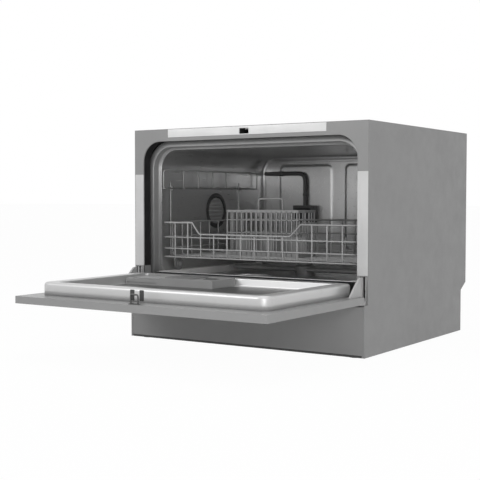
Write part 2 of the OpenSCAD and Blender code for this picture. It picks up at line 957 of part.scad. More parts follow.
// One hinge arm: eye on the pin, a foot on the door, a tail, and a lever for the spring
module hinge_arms() {
    color("lightgray")
    placed()
    both_sides()
    difference() {
        union() {
            bar_x([arm_x, arm_x + arm_t], hinge_y, hinge_z, eye_r);
            along_x([arm_x, arm_x + arm_t]) {
                polygon([[hinge_y - 4, hinge_z], [hinge_y + 2.5, hinge_z], [hinge_y + 2.5, hinge_z + 47],
                    [hinge_y - 6, hinge_z + 46], [hinge_y - 20, hinge_z + 34], [hinge_y - 31, door_in_z + 12],
                    [hinge_y - 42, door_in_z + 1.5], [hinge_y - 42, door_in_z], [hinge_y - 4, door_in_z]]);
                translate([hinge_y, hinge_z + 0.5])
                square([lever_len, lever_h]);
            }
        }
        bar_x([arm_x - cut, arm_x + arm_t + cut], hinge_y, hinge_z, pin_r + fit);
    }
}

// Close-wound springs that pull the levers down, from a hook post on the base
spring_r = 5;
spring_turns = 26;

module door_springs() {
    low = pan_z + 10;
    top = hinge_z - 1.5;
    pitch = (top - low - 14) / spring_turns;
    y = hinge_y + lever_len - 6;
    color("silver")
    placed()
    both_sides()
    translate([arm_x + arm_t / 2, y, 0]) {
        rotate_extrude($fn = smooth)
        polygon(concat([[0, low + 7]],
            [for (i = [0:2 * spring_turns]) [spring_r - (i % 2) * pitch * 0.35, low + 7 + i * pitch / 2]],
            [[0, top - 7]]));
        bar_z(0, 0, [low, low + 7.5], 1.2);
        bar_z(0, 0, [top - 7.5, top + 1.7], 1.2);
        bar_z(0, 0, [pan_z, low], 4);
    }
}

// The spray arm and the post that it turns on
post_top = tub_floor_z + 29;

module spray_hub() {
    color("gray")
    placed()
    translate([hub_at[0], hub_at[1], 0])
    difference() {
        union() {
            bar_z(0, 0, [pump_z - 14, post_top - 3], hub_r);
            bar_z(0, 0, [tub_floor_z, tub_floor_z + 7.7], hub_r + 9);
            bar_z(0, 0, [post_top - 4, post_top + 2], hub_r + 5);
        }
        bar_z(0, 0, [pump_z - 11, post_top - 8], hub_r - 3);
    }
}

module spray_arm() {
    low = tub_floor_z + 9;
    top = low + 11;
    color("dimgray")
    placed()
    translate([hub_at[0], hub_at[1], 0])
    difference() {
        union() {
            bar_z(0, 0, [low - 1, post_top - 4.4], hub_r + 10);
            along_z([low, top])
            for (s = [0, 180])
                rotate(s)
                union() {
                    polygon([[0, -19], [spray_len / 2 - 12, -12], [spray_len / 2 - 12, 12], [0, 19]]);
                    translate([spray_len / 2 - 12, 0])
                    circle(12, $fn = smooth);
                }
        }
        bar_z(0, 0, [low - 2, top + 9], hub_r + fit);
        for (s = [0, 180], i = [1:5])
            rotate([0, 0, s])
            bar_z(i * spray_len / 12 + 14, i % 2 * 6 - 3, [top - 2, top + cut], 1.6);
    }
}

// The outer door panel: a shallow tray whose rim turns in below the liner
module door_panel() {
    rim = liner_side + 14;
    color("gray")
    placed()
    difference() {
        along_z([door_out_z, door_in_z])
        round_rect([-half_w + 0.5, half_w - 0.5], [door_free_y, door_end_y], 2);
        along_z([door_out_z + sheet_t, door_in_z - sheet_t])
        round_rect([-half_w + 0.5 + sheet_t, half_w - 0.5 - sheet_t],
            [door_free_y + sheet_t, door_end_y - sheet_t], 1.5);
        block([-half_w + rim, half_w - rim], [liner_free_y + 14, liner_end_y - 14],
            [door_in_z - 2, door_in_z + cut]);
        block([-fascia_x, fascia_x], [fascia_y, fascia_y + fascia_d], [door_out_z - cut, door_out_z + 2]);
        both_sides()
        block([slot_x - 0.6, slot_x + slot_w + 0.6], [front_y - 12, front_y + cut],
            [door_out_z - cut, door_in_z + cut]);
    }
}

fascia_x = half_w - 14;
fascia_y = door_free_y + 9;

// The pressed liner: a raised rim around the recess, hollow from behind
module door_liner() {
    wall = 1.2;
    x = [-liner_x, liner_x];
    y = [liner_free_y, liner_end_y];
    color("lightgray")
    placed()
    difference() {
        liner_block(x, y, liner_r, [door_in_z, liner_top_z]);
        along_z([recess_z, liner_top_z + cut])
        round_rect([x[0] + rim_w, x[1] - rim_w], [y[0] + rim_w - 8, y[1] - 8], recess_r);
        difference() {
            liner_block([x[0] + wall, x[1] - wall], [y[0] + wall, y[1] - wall], liner_r - wall,
                [door_in_z - cut, liner_top_z - wall]);
            along_z([door_in_z - 2, liner_top_z + cut])
            round_rect([x[0] + rim_w - wall, x[1] - rim_w + wall],
                [y[0] + rim_w - 8 - wall, y[1] - 8 + wall], recess_r + wall);
        }
        along_z([door_in_z - cut, recess_z - wall])
        round_rect([x[0] + rim_w + 2, x[1] - rim_w - 2], [y[0] + rim_w, y[1] - 12], 8);
    }
}

// A block with large round corners at the free edge and small ones at the hinge
module liner_block(x, y, r, z) {
    along_z(z) {
        round_rect(x, [y[0], y[1] - 30], r);
        round_rect(x, [y[0] + 2 * r, y[1]], 6);
    }
}

// The control strip on the outer face, with its window and buttons
button_y = fascia_y + fascia_d / 2;
button_x = [-fascia_x + 46, fascia_x - 131, fascia_x - 131 + button_pitch];
button_hole = button_r + 0.2;
lens_x = [-40, 60];
lens_y = [button_y - 9, button_y + 9];

module control_fascia() {
    color("dimgray")
    placed()
    difference() {
        block([-fascia_x + 0.2, fascia_x - 0.2], [fascia_y + 0.2, fascia_y + fascia_d - 0.2],
            [door_out_z, door_out_z + 2.5]);
        for (x = button_x)
            bar_z(x, button_y, [door_out_z - cut, door_out_z + 4], button_hole);
        block(lens_x, lens_y, [door_out_z - cut, door_out_z + 4]);
    }
}

module display_lens() {
    color("black")
    placed()
    block([lens_x[0] + 0.15, lens_x[1] - 0.15], [lens_y[0] + 0.15, lens_y[1] - 0.15],
        [door_out_z, door_out_z + 2.2]);
}

module push_button(x) {
    color("silver")
    placed()
    translate([x, button_y, 0]) {
        bar_z(0, 0, [door_out_z - button_travel + 0.3, door_out_z + 3], button_r);
        bar_z(0, 0, [door_out_z + 2.8, door_out_z + 4], button_r + 1.5);
        bar_z(0, 0, [door_out_z + 3.5, door_out_z + 6], 2);
    }
}

module power_button() {
    push_button(button_x[0]);
}

module programme_button() {
    push_button(button_x[1]);
}

module start_button() {
    push_button(button_x[2]);
}

// The circuit board behind the buttons, on four standoffs
module control_board() {
    z = door_out_z + 6 + button_travel + 0.5;
    x = [button_x[0] - 15, button_x[2] + 15];
    y = [fascia_y + 5, fascia_y + fascia_d - 5];
    color("green")
    placed() {
        block(x, y, [z, z + 1.6]);
        for (sx = [x[0] + 5, x[1] - 5], sy = [y[0] + 5, y[1] - 5])
            bar_z(sx, sy, [door_out_z + 2.5, z + 0.5], 2.5);
        for (sx = [x[0] + 40, x[0] + 90, lens_x[1] + 25])
            block([sx, sx + 18], [y[0] + 10, y[0] + 22], [z + 1.5, z + 3.2]);
    }
}

// The detergent and rinse aid unit in the liner recess
disp_x = [-128, 0];
disp_low_x = [-213, -128];
disp_y = [liner_end_y - 86, liner_end_y - 9];
disp_top = liner_top_z;
cup_x = [-118, -60];
cup_y = [disp_y[0] + 10, disp_y[1] - 11];
rinse_at = [-30, disp_y[0] + 39];
rinse_r = 17;

module dispenser() {
    color("dimgray")
    placed()
    difference() {
        union() {
            block(disp_x, disp_y, [recess_z, disp_top - 1.6]);
            block([disp_low_x[0], disp_low_x[1] + cut], disp_y, [recess_z, disp_top - 4.5]);
        }
        block(cup_x, cup_y, [recess_z + 2, disp_top + cut]);
        bar_z(rinse_at[0], rinse_at[1], [disp_top - 8, disp_top + cut], rinse_r + fit);
        block([disp_low_x[0] + 6, disp_low_x[1] - 6], [disp_y[0] + 6, disp_y[1] - 6],
            [disp_top - 6.5, disp_top + cut]);
        block([disp_low_x[0] + 4, disp_low_x[1] - 8], [disp_y[0] - cut, disp_y[0] + 2],
            [recess_z + 3, recess_z + 6]);
    }
}

// The detergent lid slides back over its cup
module detergent_lid() {
    color("gray")
    placed()
    block([cup_x[0] - 3, cup_x[1] + 3], [cup_y[0] - 3, cup_y[1] + 3], [disp_top - 1.6, disp_top]);
}

module rinse_cap() {
    color("#505050")
    placed()
    translate([rinse_at[0], rinse_at[1], 0]) {
        bar_z(0, 0, [disp_top - 8, disp_top - 1.5], rinse_r);
        block([-rinse_r + 4, rinse_r - 4], [-1.5, 1.5], [disp_top - 2, disp_top]);
    }
}

// The wire basket: flat welded grids that meet at its edges, tine rows, shelf posts and wheel pins
dip_x = [-155, -137, 84, 108];
rail_high = basket_top - 31;
rail_low = basket_top - 55;
rail_r = 2;
tine_r = 1.4;
// Numbers of wire spaces across and along, and their sizes
nx = floor(2 * basket_x / wire_step);
ny = floor((basket_back - basket_front) / wire_step);
dx = 2 * basket_x / nx;
dy = (basket_back - basket_front) / ny;
// Each grid ends this far from the middle plane of the next one
grid_end = wire_r + fit;
tine_low = basket_z + wire_r + tine_r + fit;
tine_rows = [[4, 9], [7, 1], [9, 1]];

module basket() {
    color("gainsboro")
    placed() {
        basket_front_grid();
        basket_rear_grid();
        basket_floor_grid();
        basket_side_grid();
        mirror([1, 0, 0])
        basket_side_grid();
        for (row = tine_rows)
            tine_row(basket_front + row[0] * dy, row[1]);
        for (y = [post_front_y, post_rear_y])
            shelf_post(y);
        both_sides()
        for (y = [-wheel_y, wheel_y])
            wheel_pin(y);
    }
}

// The front: a grid as high as the upper rail, with two hand rests and a lower rail between them on top
module basket_front_grid() {
    x = basket_x;
    y = basket_front;
    low = rail_high + wire_r + fit;
    for (z = [rail_high, rail_low, basket_z])
        wire([-x - wire_r, y, z], [x + wire_r, y, z]);
    for (i = [0:nx])
        wire([-x + i * dx, y, basket_z], [-x + i * dx, y, rail_high]);
    wire([-x, y, basket_top], [dip_x[0], y, basket_top], rail_r);
    wire([dip_x[0], y, basket_top], [dip_x[1], y, basket_dip], rail_r);
    wire([dip_x[1] + rail_r + seam, y, basket_dip], [dip_x[2] - rail_r - seam, y, basket_dip], rail_r);
    wire([dip_x[2], y, basket_dip], [dip_x[3], y, basket_top], rail_r);
    wire([dip_x[3], y, basket_top], [x, y, basket_top], rail_r);
    rail_line = [[dip_x[0], basket_top], [dip_x[1], basket_dip], [dip_x[2], basket_dip], [dip_x[3], basket_top]];
    for (i = [0:nx]) {
        px = -x + i * dx;
        wire([px, y, low], [px, y, lookup(px, rail_line)]);
    }
}

module basket_rear_grid() {
    x = basket_x;
    y = basket_back;
    for (z = [basket_top, rail_high, rail_low, basket_z])
        wire([-x - wire_r, y, z], [x + wire_r, y, z]);
    for (i = [0:nx])
        wire([-x + i * dx, y, basket_z], [-x + i * dx, y, basket_top]);
}

module basket_side_grid() {
    wire([basket_x, basket_front + rail_r + fit, basket_top], [basket_x, basket_back - grid_end, basket_top]);
    for (z = [rail_high, rail_low, basket_z])
        wire([basket_x, basket_front + grid_end, z], [basket_x, basket_back - grid_end, z]);
    for (i = [1:ny - 1])
        wire([basket_x, basket_front + i * dy, basket_z], [basket_x, basket_front + i * dy, basket_top]);
}

module basket_floor_grid() {
    x = basket_x - grid_end;
    for (i = [1:nx - 1])
        wire([-basket_x + i * dx, basket_front + grid_end, basket_z],
            [-basket_x + i * dx, basket_back - grid_end, basket_z]);
    for (i = [2:2:ny - 1])
        wire([-x, basket_front + i * dy, basket_z], [x, basket_front + i * dy, basket_z]);
}

// A row of plate tines on a cross wire that lies on the floor grid
module tine_row(y, first) {
    wire([-basket_x + first * dx - 6, y, tine_low], [basket_x - dx + 6, y, tine_low], tine_r);
    for (i = [first:nx - 1])
        wire([-basket_x + i * dx, y, tine_low], [-basket_x + i * dx, y, tine_top], tine_r);
}

// A post on the side rail that carries the cup shelf's rod beside the wall
module shelf_post(y) {
    wire([-post_x, y, basket_top + wire_r + fit], [-post_x, y, shelf_z + 14], post_r);
    difference() {
        block([-post_x - 1, -shelf_x + 3.5], [y - 3, y + 3], [shelf_z - 4, shelf_z + 4]);
        bar_y(-shelf_x, [y - 4, y + 4], shelf_z, wire_r + fit);
    }
}

// A bracket below the side rail, with the pin of one wheel
module wheel_pin(y) {
    collar = wheel_x - wheel_w / 2 - 0.4;
    block([basket_x - 2.5, basket_x + 1], [y - 4, y + 4], [axle_z - 5, basket_z - wire_r - fit]);
    bar_x([collar - 1.9, basket_x - 2], y, axle_z, axle_r);
    bar_x([collar - 1.9, collar], y, axle_z, axle_r + 1.5);
}

module wheel(sx, sy) {
    color("gray")
    placed()
    translate([sx * wheel_x, sy * wheel_y, axle_z])
    rotate([0, 90, 0])
    rotate_extrude($fn = smooth)
    polygon([[axle_r + fit, -wheel_w / 2], [axle_r + 3, -wheel_w / 2], [axle_r + 4, -1.5],
        [wheel_r - 3, -1.5], [wheel_r - 2.5, -wheel_w / 2 + 0.5], [wheel_r, -wheel_w / 2 + 0.5],
        [wheel_r, wheel_w / 2 - 0.5], [wheel_r - 2.5, wheel_w / 2 - 0.5], [wheel_r - 3, 1.5],
        [axle_r + 4, 1.5], [axle_r + 3, wheel_w / 2], [axle_r + fit, wheel_w / 2]]);
}

module wheel_front_left() {
    wheel(-1, -1);
}

module wheel_front_right() {
    wheel(1, -1);
}

module wheel_rear_left() {
    wheel(-1, 1);
}

module wheel_rear_right() {
    wheel(1, 1);
}

// The cup shelf, folded up against the left wall
module cup_shelf() {
    top = shelf_z + shelf_h;
    color("gainsboro")
    placed() {
        bar_y(-shelf_x, [shelf_front, shelf_back], shelf_z, wire_r);
        wire([-shelf_x, shelf_front, top], [-shelf_x, shelf_back, top]);
        for (y = [shelf_front + wire_r, shelf_front + 71, shelf_back - wire_r])
            wire([-shelf_x, y, shelf_z], [-shelf_x, y, top + wire_r]);
        for (i = [1:shelf_bars])
            wire([-shelf_x, shelf_front + 71 + i * shelf_step, shelf_z],
                [-shelf_x, shelf_front + 71 + i * shelf_step, top], 1.2);
    }
}

// The cutlery basket: six cells with slatted walls and a handle
cutlery_x = [-121, 59];
cutlery_y = [-120, -46];
cutlery_low = basket_z + wire_r + 0.2;

module cutlery_basket() {
    t = 1.8;
    low = cutlery_low;
    top = low + cutlery_h;
    cell = (cutlery_x[1] - cutlery_x[0] - t) / 3;
    mid = (cutlery_y[0] + cutlery_y[1]) / 2;
    slats = 11;
    pitch = (cutlery_x[1] - cutlery_x[0]) / slats;
    color("silver")
    placed() {
        difference() {
            block(cutlery_x, cutlery_y, [low, top]);
            for (i = [0:2], j = [0, 1])
                block([cutlery_x[0] + t + i * cell, cutlery_x[0] + (i + 1) * cell],
                    j == 0 ? [cutlery_y[0] + t, mid - t / 2] : [mid + t / 2, cutlery_y[1] - t], [low + t, top + cut]);
            for (i = [0:slats - 1])
                block([cutlery_x[0] + (i + 0.25) * pitch, cutlery_x[0] + (i + 0.75) * pitch],
                    [cutlery_y[0] - cut, cutlery_y[1] + cut], [low + 14, top - 22]);
            for (i = [0:3])
                block([cutlery_x[0] - cut, cutlery_x[1] + cut],
                    [cutlery_y[0] + 8 + i * 16, cutlery_y[0] + 18 + i * 16], [low + 14, top - 22]);
        }
        for (x = [cutlery_x[0] + cell + t / 2, cutlery_x[1] - cell - t / 2])
            block([x - 2.5, x + 2.5], [mid - 2, mid + 2], [top - 6, top + 22]);
        block([cutlery_x[0] + cell - 2, cutlery_x[1] - cell + 2], [mid - 2.5, mid + 2.5], [top + 20, top + 26]);
    }
}

side_panel_left();
side_panel_right();
top_cover();
rear_panel();
base_pan();
front_plinth();
front_frame();
frame_trim_top();
frame_trim_sides();
tub_shell();
tub_back();
tub_floor();
door_gasket();
sill_seal();
vent_cap();
air_break();
riser_pipe();
riser_block();
runner_rails();
sump();
filter_plate();
filter_cup();
softener_tank();
softener_cap();
float_cap();
flow_heater();
wash_pump();
wash_impeller();
drain_pump();
inlet_valve();
drain_outlet();
cable_gland();
latch_body();
latch_catch();
hinge_brackets();
hinge_pins();
door_springs();
levelling_feet();
spray_hub();
spray_arm();
door_panel();
door_liner();
hinge_arms();
latch_striker();
control_fascia();
control_board();
display_lens();
power_button();
programme_button();
start_button();
dispenser();
detergent_lid();
rinse_cap();
basket();
wheel_front_left();
wheel_front_right();
wheel_rear_left();
wheel_rear_right();
cup_shelf();
cutlery_basket();
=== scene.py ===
import bpy
import json
import math
import numpy as np
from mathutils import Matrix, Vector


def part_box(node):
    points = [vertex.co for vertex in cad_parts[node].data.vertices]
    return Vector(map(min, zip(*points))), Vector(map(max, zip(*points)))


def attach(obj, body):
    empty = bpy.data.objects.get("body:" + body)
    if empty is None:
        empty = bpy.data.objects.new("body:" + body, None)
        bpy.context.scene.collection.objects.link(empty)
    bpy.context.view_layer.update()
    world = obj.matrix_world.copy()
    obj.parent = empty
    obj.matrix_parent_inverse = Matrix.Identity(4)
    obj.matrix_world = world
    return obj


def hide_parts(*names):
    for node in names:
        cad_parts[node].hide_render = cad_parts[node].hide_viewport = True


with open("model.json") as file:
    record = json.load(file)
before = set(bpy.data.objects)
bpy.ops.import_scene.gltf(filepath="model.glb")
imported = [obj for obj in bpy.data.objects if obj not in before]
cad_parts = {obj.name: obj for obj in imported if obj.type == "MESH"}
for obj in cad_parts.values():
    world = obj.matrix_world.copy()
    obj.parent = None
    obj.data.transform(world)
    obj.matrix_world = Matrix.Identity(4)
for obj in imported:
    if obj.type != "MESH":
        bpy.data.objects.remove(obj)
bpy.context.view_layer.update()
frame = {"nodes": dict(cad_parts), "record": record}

# Shapes are written in millimetres about the middle of the cabinet, and toFrame puts them in the frame
mm = 0.001
cabinetLow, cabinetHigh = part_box("side_panel_right")
cabinetMid = np.array([0, (cabinetLow.y + cabinetHigh.y) / 2, 0])


def toFrame(points):
    # millimetres about the cabinet's middle become metres in the frame
    return np.asarray(points, float) * mm + cabinetMid


def nodeBox(node):
    # a node's low and high corner, in millimetres about the cabinet's middle
    low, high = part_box(node)
    return (np.array(low) - cabinetMid) / mm, (np.array(high) - cabinetMid) / mm


# Camera: where the photograph was taken from
camera = {"place": (1089.9, -1882.4, 297.8), "turn": (87.52, 0.0, 33.67), "lens": 74.89, "sensor": 36,
          "near": 0.05, "far": 50}


def makeCamera():
    # the photograph's own place, turn and lens
    data = bpy.data.cameras.new("camera")
    data.lens, data.sensor_width = camera["lens"], camera["sensor"]
    data.clip_start, data.clip_end = camera["near"], camera["far"]
    eye = bpy.data.objects.new("camera", data)
    eye.location = toFrame(camera["place"])
    eye.rotation_euler = [math.radians(a) for a in camera["turn"]]
    bpy.context.scene.collection.objects.link(eye)
    bpy.context.scene.camera = eye


makeCamera()
print("camera placed")


# Points on a grid, and the faces that join them

def gridFaces(rows, columns, closeColumns=False):
    # quad (r, c), (r, c + 1), (r + 1, c + 1), (r + 1, c), wrapped where the columns close
    r, c = np.meshgrid(np.arange(rows - 1), np.arange(columns if closeColumns else columns - 1),
                       indexing="ij")
    nextColumn = (c + 1) % columns
    return np.stack([r * columns + c, r * columns + nextColumn,
                     (r + 1) * columns + nextColumn, (r + 1) * columns + c], -1).reshape(-1, 4)


def signedVolume(points, faces):
    # a sixth of the sum of a . (b x c) over each face's fan of triangles,
    # below zero for faces that look inwards
    a = points[faces[:, :1]]
    b, c = points[faces[:, 1:-1]], points[faces[:, 2:]]
    return (a * np.cross(b, c)).sum() / 6


def solid(rings):
    # closed rings in a row, joined by quads, with a flat face over both ends, all looking outwards
    rows, columns = rings.shape[:2]
    points = rings.reshape(-1, 3)
    quads = gridFaces(rows, columns, True)
    ends = np.stack([np.arange(columns)[::-1], (rows - 1) * columns + np.arange(columns)])
    if signedVolume(points, quads) + signedVolume(points, ends) < 0:
        quads, ends = quads[:, ::-1], ends[:, ::-1]
    return points, quads.tolist() + ends.tolist()


def loopSolid(rings):
    # closed rings whose last one joins the first, as in a hoop
    rings = np.concatenate([rings, rings[:1]])
    points = rings.reshape(-1, 3)
    quads = gridFaces(*rings.shape[:2], True)
    last = (len(rings) - 1) * rings.shape[1]
    quads = np.where(quads >= last, quads - last, quads)
    points = points[:last]
    return points, (quads[:, ::-1] if signedVolume(points, quads) < 0 else quads).tolist()


def sheetGrid(grid, along=None, at=None, closeColumns=False):
    # an open sheet, turned to face along a direction or towards a point;
    # Solidify gives its thickness behind it
    quads = gridFaces(*grid.shape[:2], closeColumns)
    points = grid.reshape(-1, 3)
    p = points[quads]
    normals = np.cross(p[:, 2] - p[:, 0], p[:, 3] - p[:, 1])
    wanted = np.array(along, float) if along else np.array(at, float) - p.mean(1)
    return points, (quads[:, ::-1] if (normals * wanted).sum() < 0 else quads).tolist()


def raiseOutline(outline, depth, axis):
    # an outline (u, v) at one depth along the axis becomes x, y, z
    u, v = outline[..., 0], outline[..., 1]
    d = np.full(u.shape, float(depth))
    return np.stack({"x": (d, u, v), "y": (u, d, v), "z": (u, v, d)}[axis], -1)


def roundedLoop(x, y, radius, steps=6):
    # four quarter arcs, corner centre + r (cos t, sin t), which straight runs join; radii go right-back,
    # left-back, left-front, right-front
    radii = np.broadcast_to(np.asarray(radius, float), 4)
    signs = np.array([[1, 1], [-1, 1], [-1, -1], [1, -1]])
    corner = np.array([[x[1], y[1]], [x[0], y[1]], [x[0], y[0]], [x[1], y[0]]], float)
    centre = corner - signs * radii[:, None]
    t = (np.arange(4)[:, None] + np.linspace(0, 1, steps + 1)[None, :]) * math.pi / 2
    return (centre[:, None] + radii[:, None, None] * np.stack([np.cos(t), np.sin(t)], -1)).reshape(-1, 2)


def ringStack(rings, axis="z"):
    # (outline, depth) pairs as the rows of one grid
    return np.stack([raiseOutline(outline, depth, axis) for outline, depth in rings])


def softBox(x, y, z, corner=2.0, edge=0.6, axis="z", steps=3):
    # a block whose corners are round along the axis, with both ends' edges
    # e (1 - sin t) in and e (1 - cos t) down
    (u0, u1), (v0, v1), (d0, d1) = {"x": (y, z, x), "y": (x, z, y), "z": (x, y, z)}[axis]
    t = np.linspace(0, math.pi / 2, steps + 1)
    inset, drop = edge * (1 - np.sin(t)), edge * (1 - np.cos(t))
    depth = np.concatenate([d0 + drop, d1 - drop[::-1]])
    inset = np.concatenate([inset, inset[::-1]])
    return solid(ringStack([(roundedLoop((u0 + i, u1 - i), (v0 + i, v1 - i), max(corner - i, 0.05)), d)
                            for i, d in zip(inset, depth)], axis))


def turned(profile, centre, axis="z", sides=40):
    # a profile of (radius, depth) turned round the axis: centre + r (cos t, sin t)
    t = np.linspace(0, 2 * math.pi, sides, endpoint=False)
    profile = np.asarray(profile, float)
    u = centre[0] + profile[:, :1] * np.cos(t)
    v = centre[1] + profile[:, :1] * np.sin(t)
    d = np.broadcast_to(profile[:, 1:], u.shape)
    return solid(np.stack({"x": (d, u, v), "y": (u, d, v), "z": (u, v, d)}[axis], -1))


def roundCorners(corners, radius, steps=4):
    # a corner p gives way to (1 - t)^2 a + 2 t (1 - t) p + t^2 b, where a and b lie on its two legs,
    # no further off than a share of the shorter one
    p, share = np.asarray(corners, float), 0.48
    into, out = np.roll(p, 1, 0) - p, np.roll(p, -1, 0) - p
    lengths = [np.linalg.norm(leg, axis=1, keepdims=True) for leg in (into, out)]
    into, out = (leg / np.maximum(length, 1e-9) for leg, length in zip((into, out), lengths))
    reach = np.broadcast_to(np.asarray(radius, float), len(p))[:, None]
    reach = np.minimum(reach, share * np.minimum(*lengths))
    t = np.linspace(0, 1, steps + 1)[None, :, None]
    start, end = (p + into * reach)[:, None], (p + out * reach)[:, None]
    curve = (1 - t)**2 * start + 2 * t * (1 - t) * p[:, None] + t**2 * end
    return np.concatenate([p[:1], curve[1:-1].reshape(-1, p.shape[1]), p[-1:]])


def tube(path, radius, sides=8, closed=False):
    # ring round each point of a flat path: p + r (cos a n + sin a (t x n)),
    # n being square to the path's plane
    path = np.asarray(path, float)
    around = np.roll(path, -1, 0) - np.roll(path, 1, 0) if closed else np.gradient(path, axis=0)
    tangent = around / np.linalg.norm(around, axis=1, keepdims=True)
    legs = np.diff(path, axis=0)
    turns = np.cross(legs[:-1], legs[1:])
    sizes = np.linalg.norm(turns, axis=1)
    if len(sizes) and sizes.max() > 1e-6:
        normal = turns[sizes.argmax()] / sizes.max()
    else:
        normal = np.cross(tangent[0], np.eye(3)[np.abs(tangent[0]).argmin()])
        normal = normal / np.linalg.norm(normal)
    radii = np.full(len(path), float(radius))
    if not closed:
        path = np.concatenate([path[:1], path[:1] + tangent[:1] * radius * 0.4, path[1:-1],
                               path[-1:] - tangent[-1:] * radius * 0.4, path[-1:]])
        tangent = np.concatenate([tangent[:1], tangent, tangent[-1:]])
        radii = np.concatenate([[radius * 0.6], radii, [radius * 0.6]])
    a = np.linspace(0, 2 * math.pi, sides, endpoint=False)[None, :, None]
    side = np.cross(tangent, normal)
    rings = path[:, None] + radii[:, None, None] * (np.cos(a) * normal + np.sin(a) * side[:, None])
    return loopSolid(rings) if closed else solid(rings)


def hoop(section, centre, axis="z", sides=48):
    # a closed section of (radius, depth) carried round the axis: centre + r (cos t, sin t)
    t = np.linspace(0, 2 * math.pi, sides, endpoint=False)[:, None]
    section = np.asarray(section, float)
    u = centre[0] + section[:, 0] * np.cos(t)
    v = centre[1] + section[:, 0] * np.sin(t)
    d = np.broadcast_to(section[:, 1], u.shape)
    return loopSolid(np.stack({"x": (d, u, v), "y": (u, d, v), "z": (u, v, d)}[axis], -1))


def archPath(half, low, top, radius, steps=12):
    # up the left side, round its corner, over the top, round the right corner and down, with the way out
    t = np.linspace(0, math.pi / 2, steps + 1)
    left, right = np.stack([-np.cos(t), np.sin(t)], -1), np.stack([np.sin(t), np.cos(t)], -1)
    points = np.concatenate([[[-half, low]], np.array([-half + radius, top - radius]) + radius * left,
                             np.array([half - radius, top - radius]) + radius * right, [[half, low]]])
    return points, np.concatenate([[[-1, 0]], left, right, [[1, 0]]])


def archSweep(arch, profile):
    # a profile of (outwards, y) carried along an arch: point + outwards * way out, y from the profile
    points, outwards = arch
    profile = np.asarray(profile, float)
    place = points[:, None] + outwards[:, None] * profile[None, :, :1]
    y = np.broadcast_to(profile[None, :, 1], place.shape[:2])
    return np.stack([place[..., 0], y, place[..., 1]], -1)


def smoothStep(value, low, high):
    # t^2 (3 - 2 t), where t goes from 0 at low to 1 at high
    t = np.clip((value - low) / (high - low), 0, 1)
    return t * t * (3 - 2 * t)


def boxDistance(u, v, uSpan, vSpan, radius):
    # how far a point is outside a rectangle with round corners, below zero inside
    du = np.abs(u - sum(uSpan) / 2) - (uSpan[1] - uSpan[0]) / 2 + radius
    dv = np.abs(v - sum(vSpan) / 2) - (vSpan[1] - vSpan[0]) / 2 + radius
    return np.hypot(np.maximum(du, 0), np.maximum(dv, 0)) + np.minimum(np.maximum(du, dv), 0) - radius


def makePiece(name, surfaces, finish, body, replaces=(), thick=0, smooth=35):
    # joins surfaces, each (points, faces), into one mesh that rides on a body
    counts = np.cumsum([0] + [len(points) for points, _ in surfaces])
    points = toFrame(np.concatenate([points for points, _ in surfaces]))
    faces = [[i + start for i in face] for start, (_, group) in zip(counts, surfaces) for face in group]
    mesh = bpy.data.meshes.new(name)
    mesh.from_pydata(points.tolist(), [], faces)
    mesh.shade_smooth()
    mesh.set_sharp_from_angle(angle=math.radians(smooth))
    mesh.materials.append(finish)
    piece = bpy.data.objects.new(name, mesh)
    bpy.context.scene.collection.objects.link(piece)
    if thick:
        shell = piece.modifiers.new("thickness", "SOLIDIFY")
        shell.thickness, shell.offset = thick * mm, -1
    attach(piece, body)
    if replaces:
        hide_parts(*replaces)
    return piece


# Finishes

class Value:
    # a number that varies over a surface; each operator adds one Math node to the finish
    def __init__(self, finish, socket):
        self.finish, self.socket = finish, socket

    def maths(self, operation, first, second):
        return Value(self.finish, self.finish.node("ShaderNodeMath", {"operation": operation},
                                                   {0: first, 1: second}).outputs[0])

    def __add__(self, other):
        return self.maths("ADD", self, other)

    def __sub__(self, other):
        return self.maths("SUBTRACT", self, other)

    def __rsub__(self, other):
        return self.maths("SUBTRACT", other, self)

    def __mul__(self, other):
        return self.maths("MULTIPLY", self, other)

    __radd__, __rmul__ = __add__, __mul__

    def spread(self, low, high, start=0.0, end=1.0):
        # carries low..high onto start..end, and no further
        limits = {"Value": self, "From Min": low, "From Max": high, "To Min": start, "To Max": end}
        node = self.finish.node("ShaderNodeMapRange", {"clamp": True}, limits)
        return Value(self.finish, node.outputs[0])


class Nodes:
    # a tree that starts empty; one method adds every kind of node to it
    def __init__(self, tree):
        self.tree = tree
        tree.nodes.clear()

    def node(self, kind, settings=None, inputs=None):
        made = self.tree.nodes.new(kind)
        for key, value in (settings or {}).items():
            if key == "stops":
                for stop, (position, colour) in zip(made.color_ramp.elements, value):
                    stop.position, stop.color = position, (*colour, 1)
            else:
                setattr(made, key, value)
        for key, value in (inputs or {}).items():
            if isinstance(value, Value):
                value = value.socket
            if isinstance(value, bpy.types.NodeSocket):
                self.tree.links.new(value, made.inputs[key])
            else:
                made.inputs[key].default_value = value
        return made

    def whiteRays(self):
        # one for what the camera, gloss and glass see, and nothing for the light that falls on the object
        rays = self.node("ShaderNodeLightPath").outputs
        seen = Value(self, rays["Is Camera Ray"])
        for ray in ("Is Glossy Ray", "Is Transmission Ray"):
            seen = seen.maths("MAXIMUM", seen, rays[ray])
        return seen


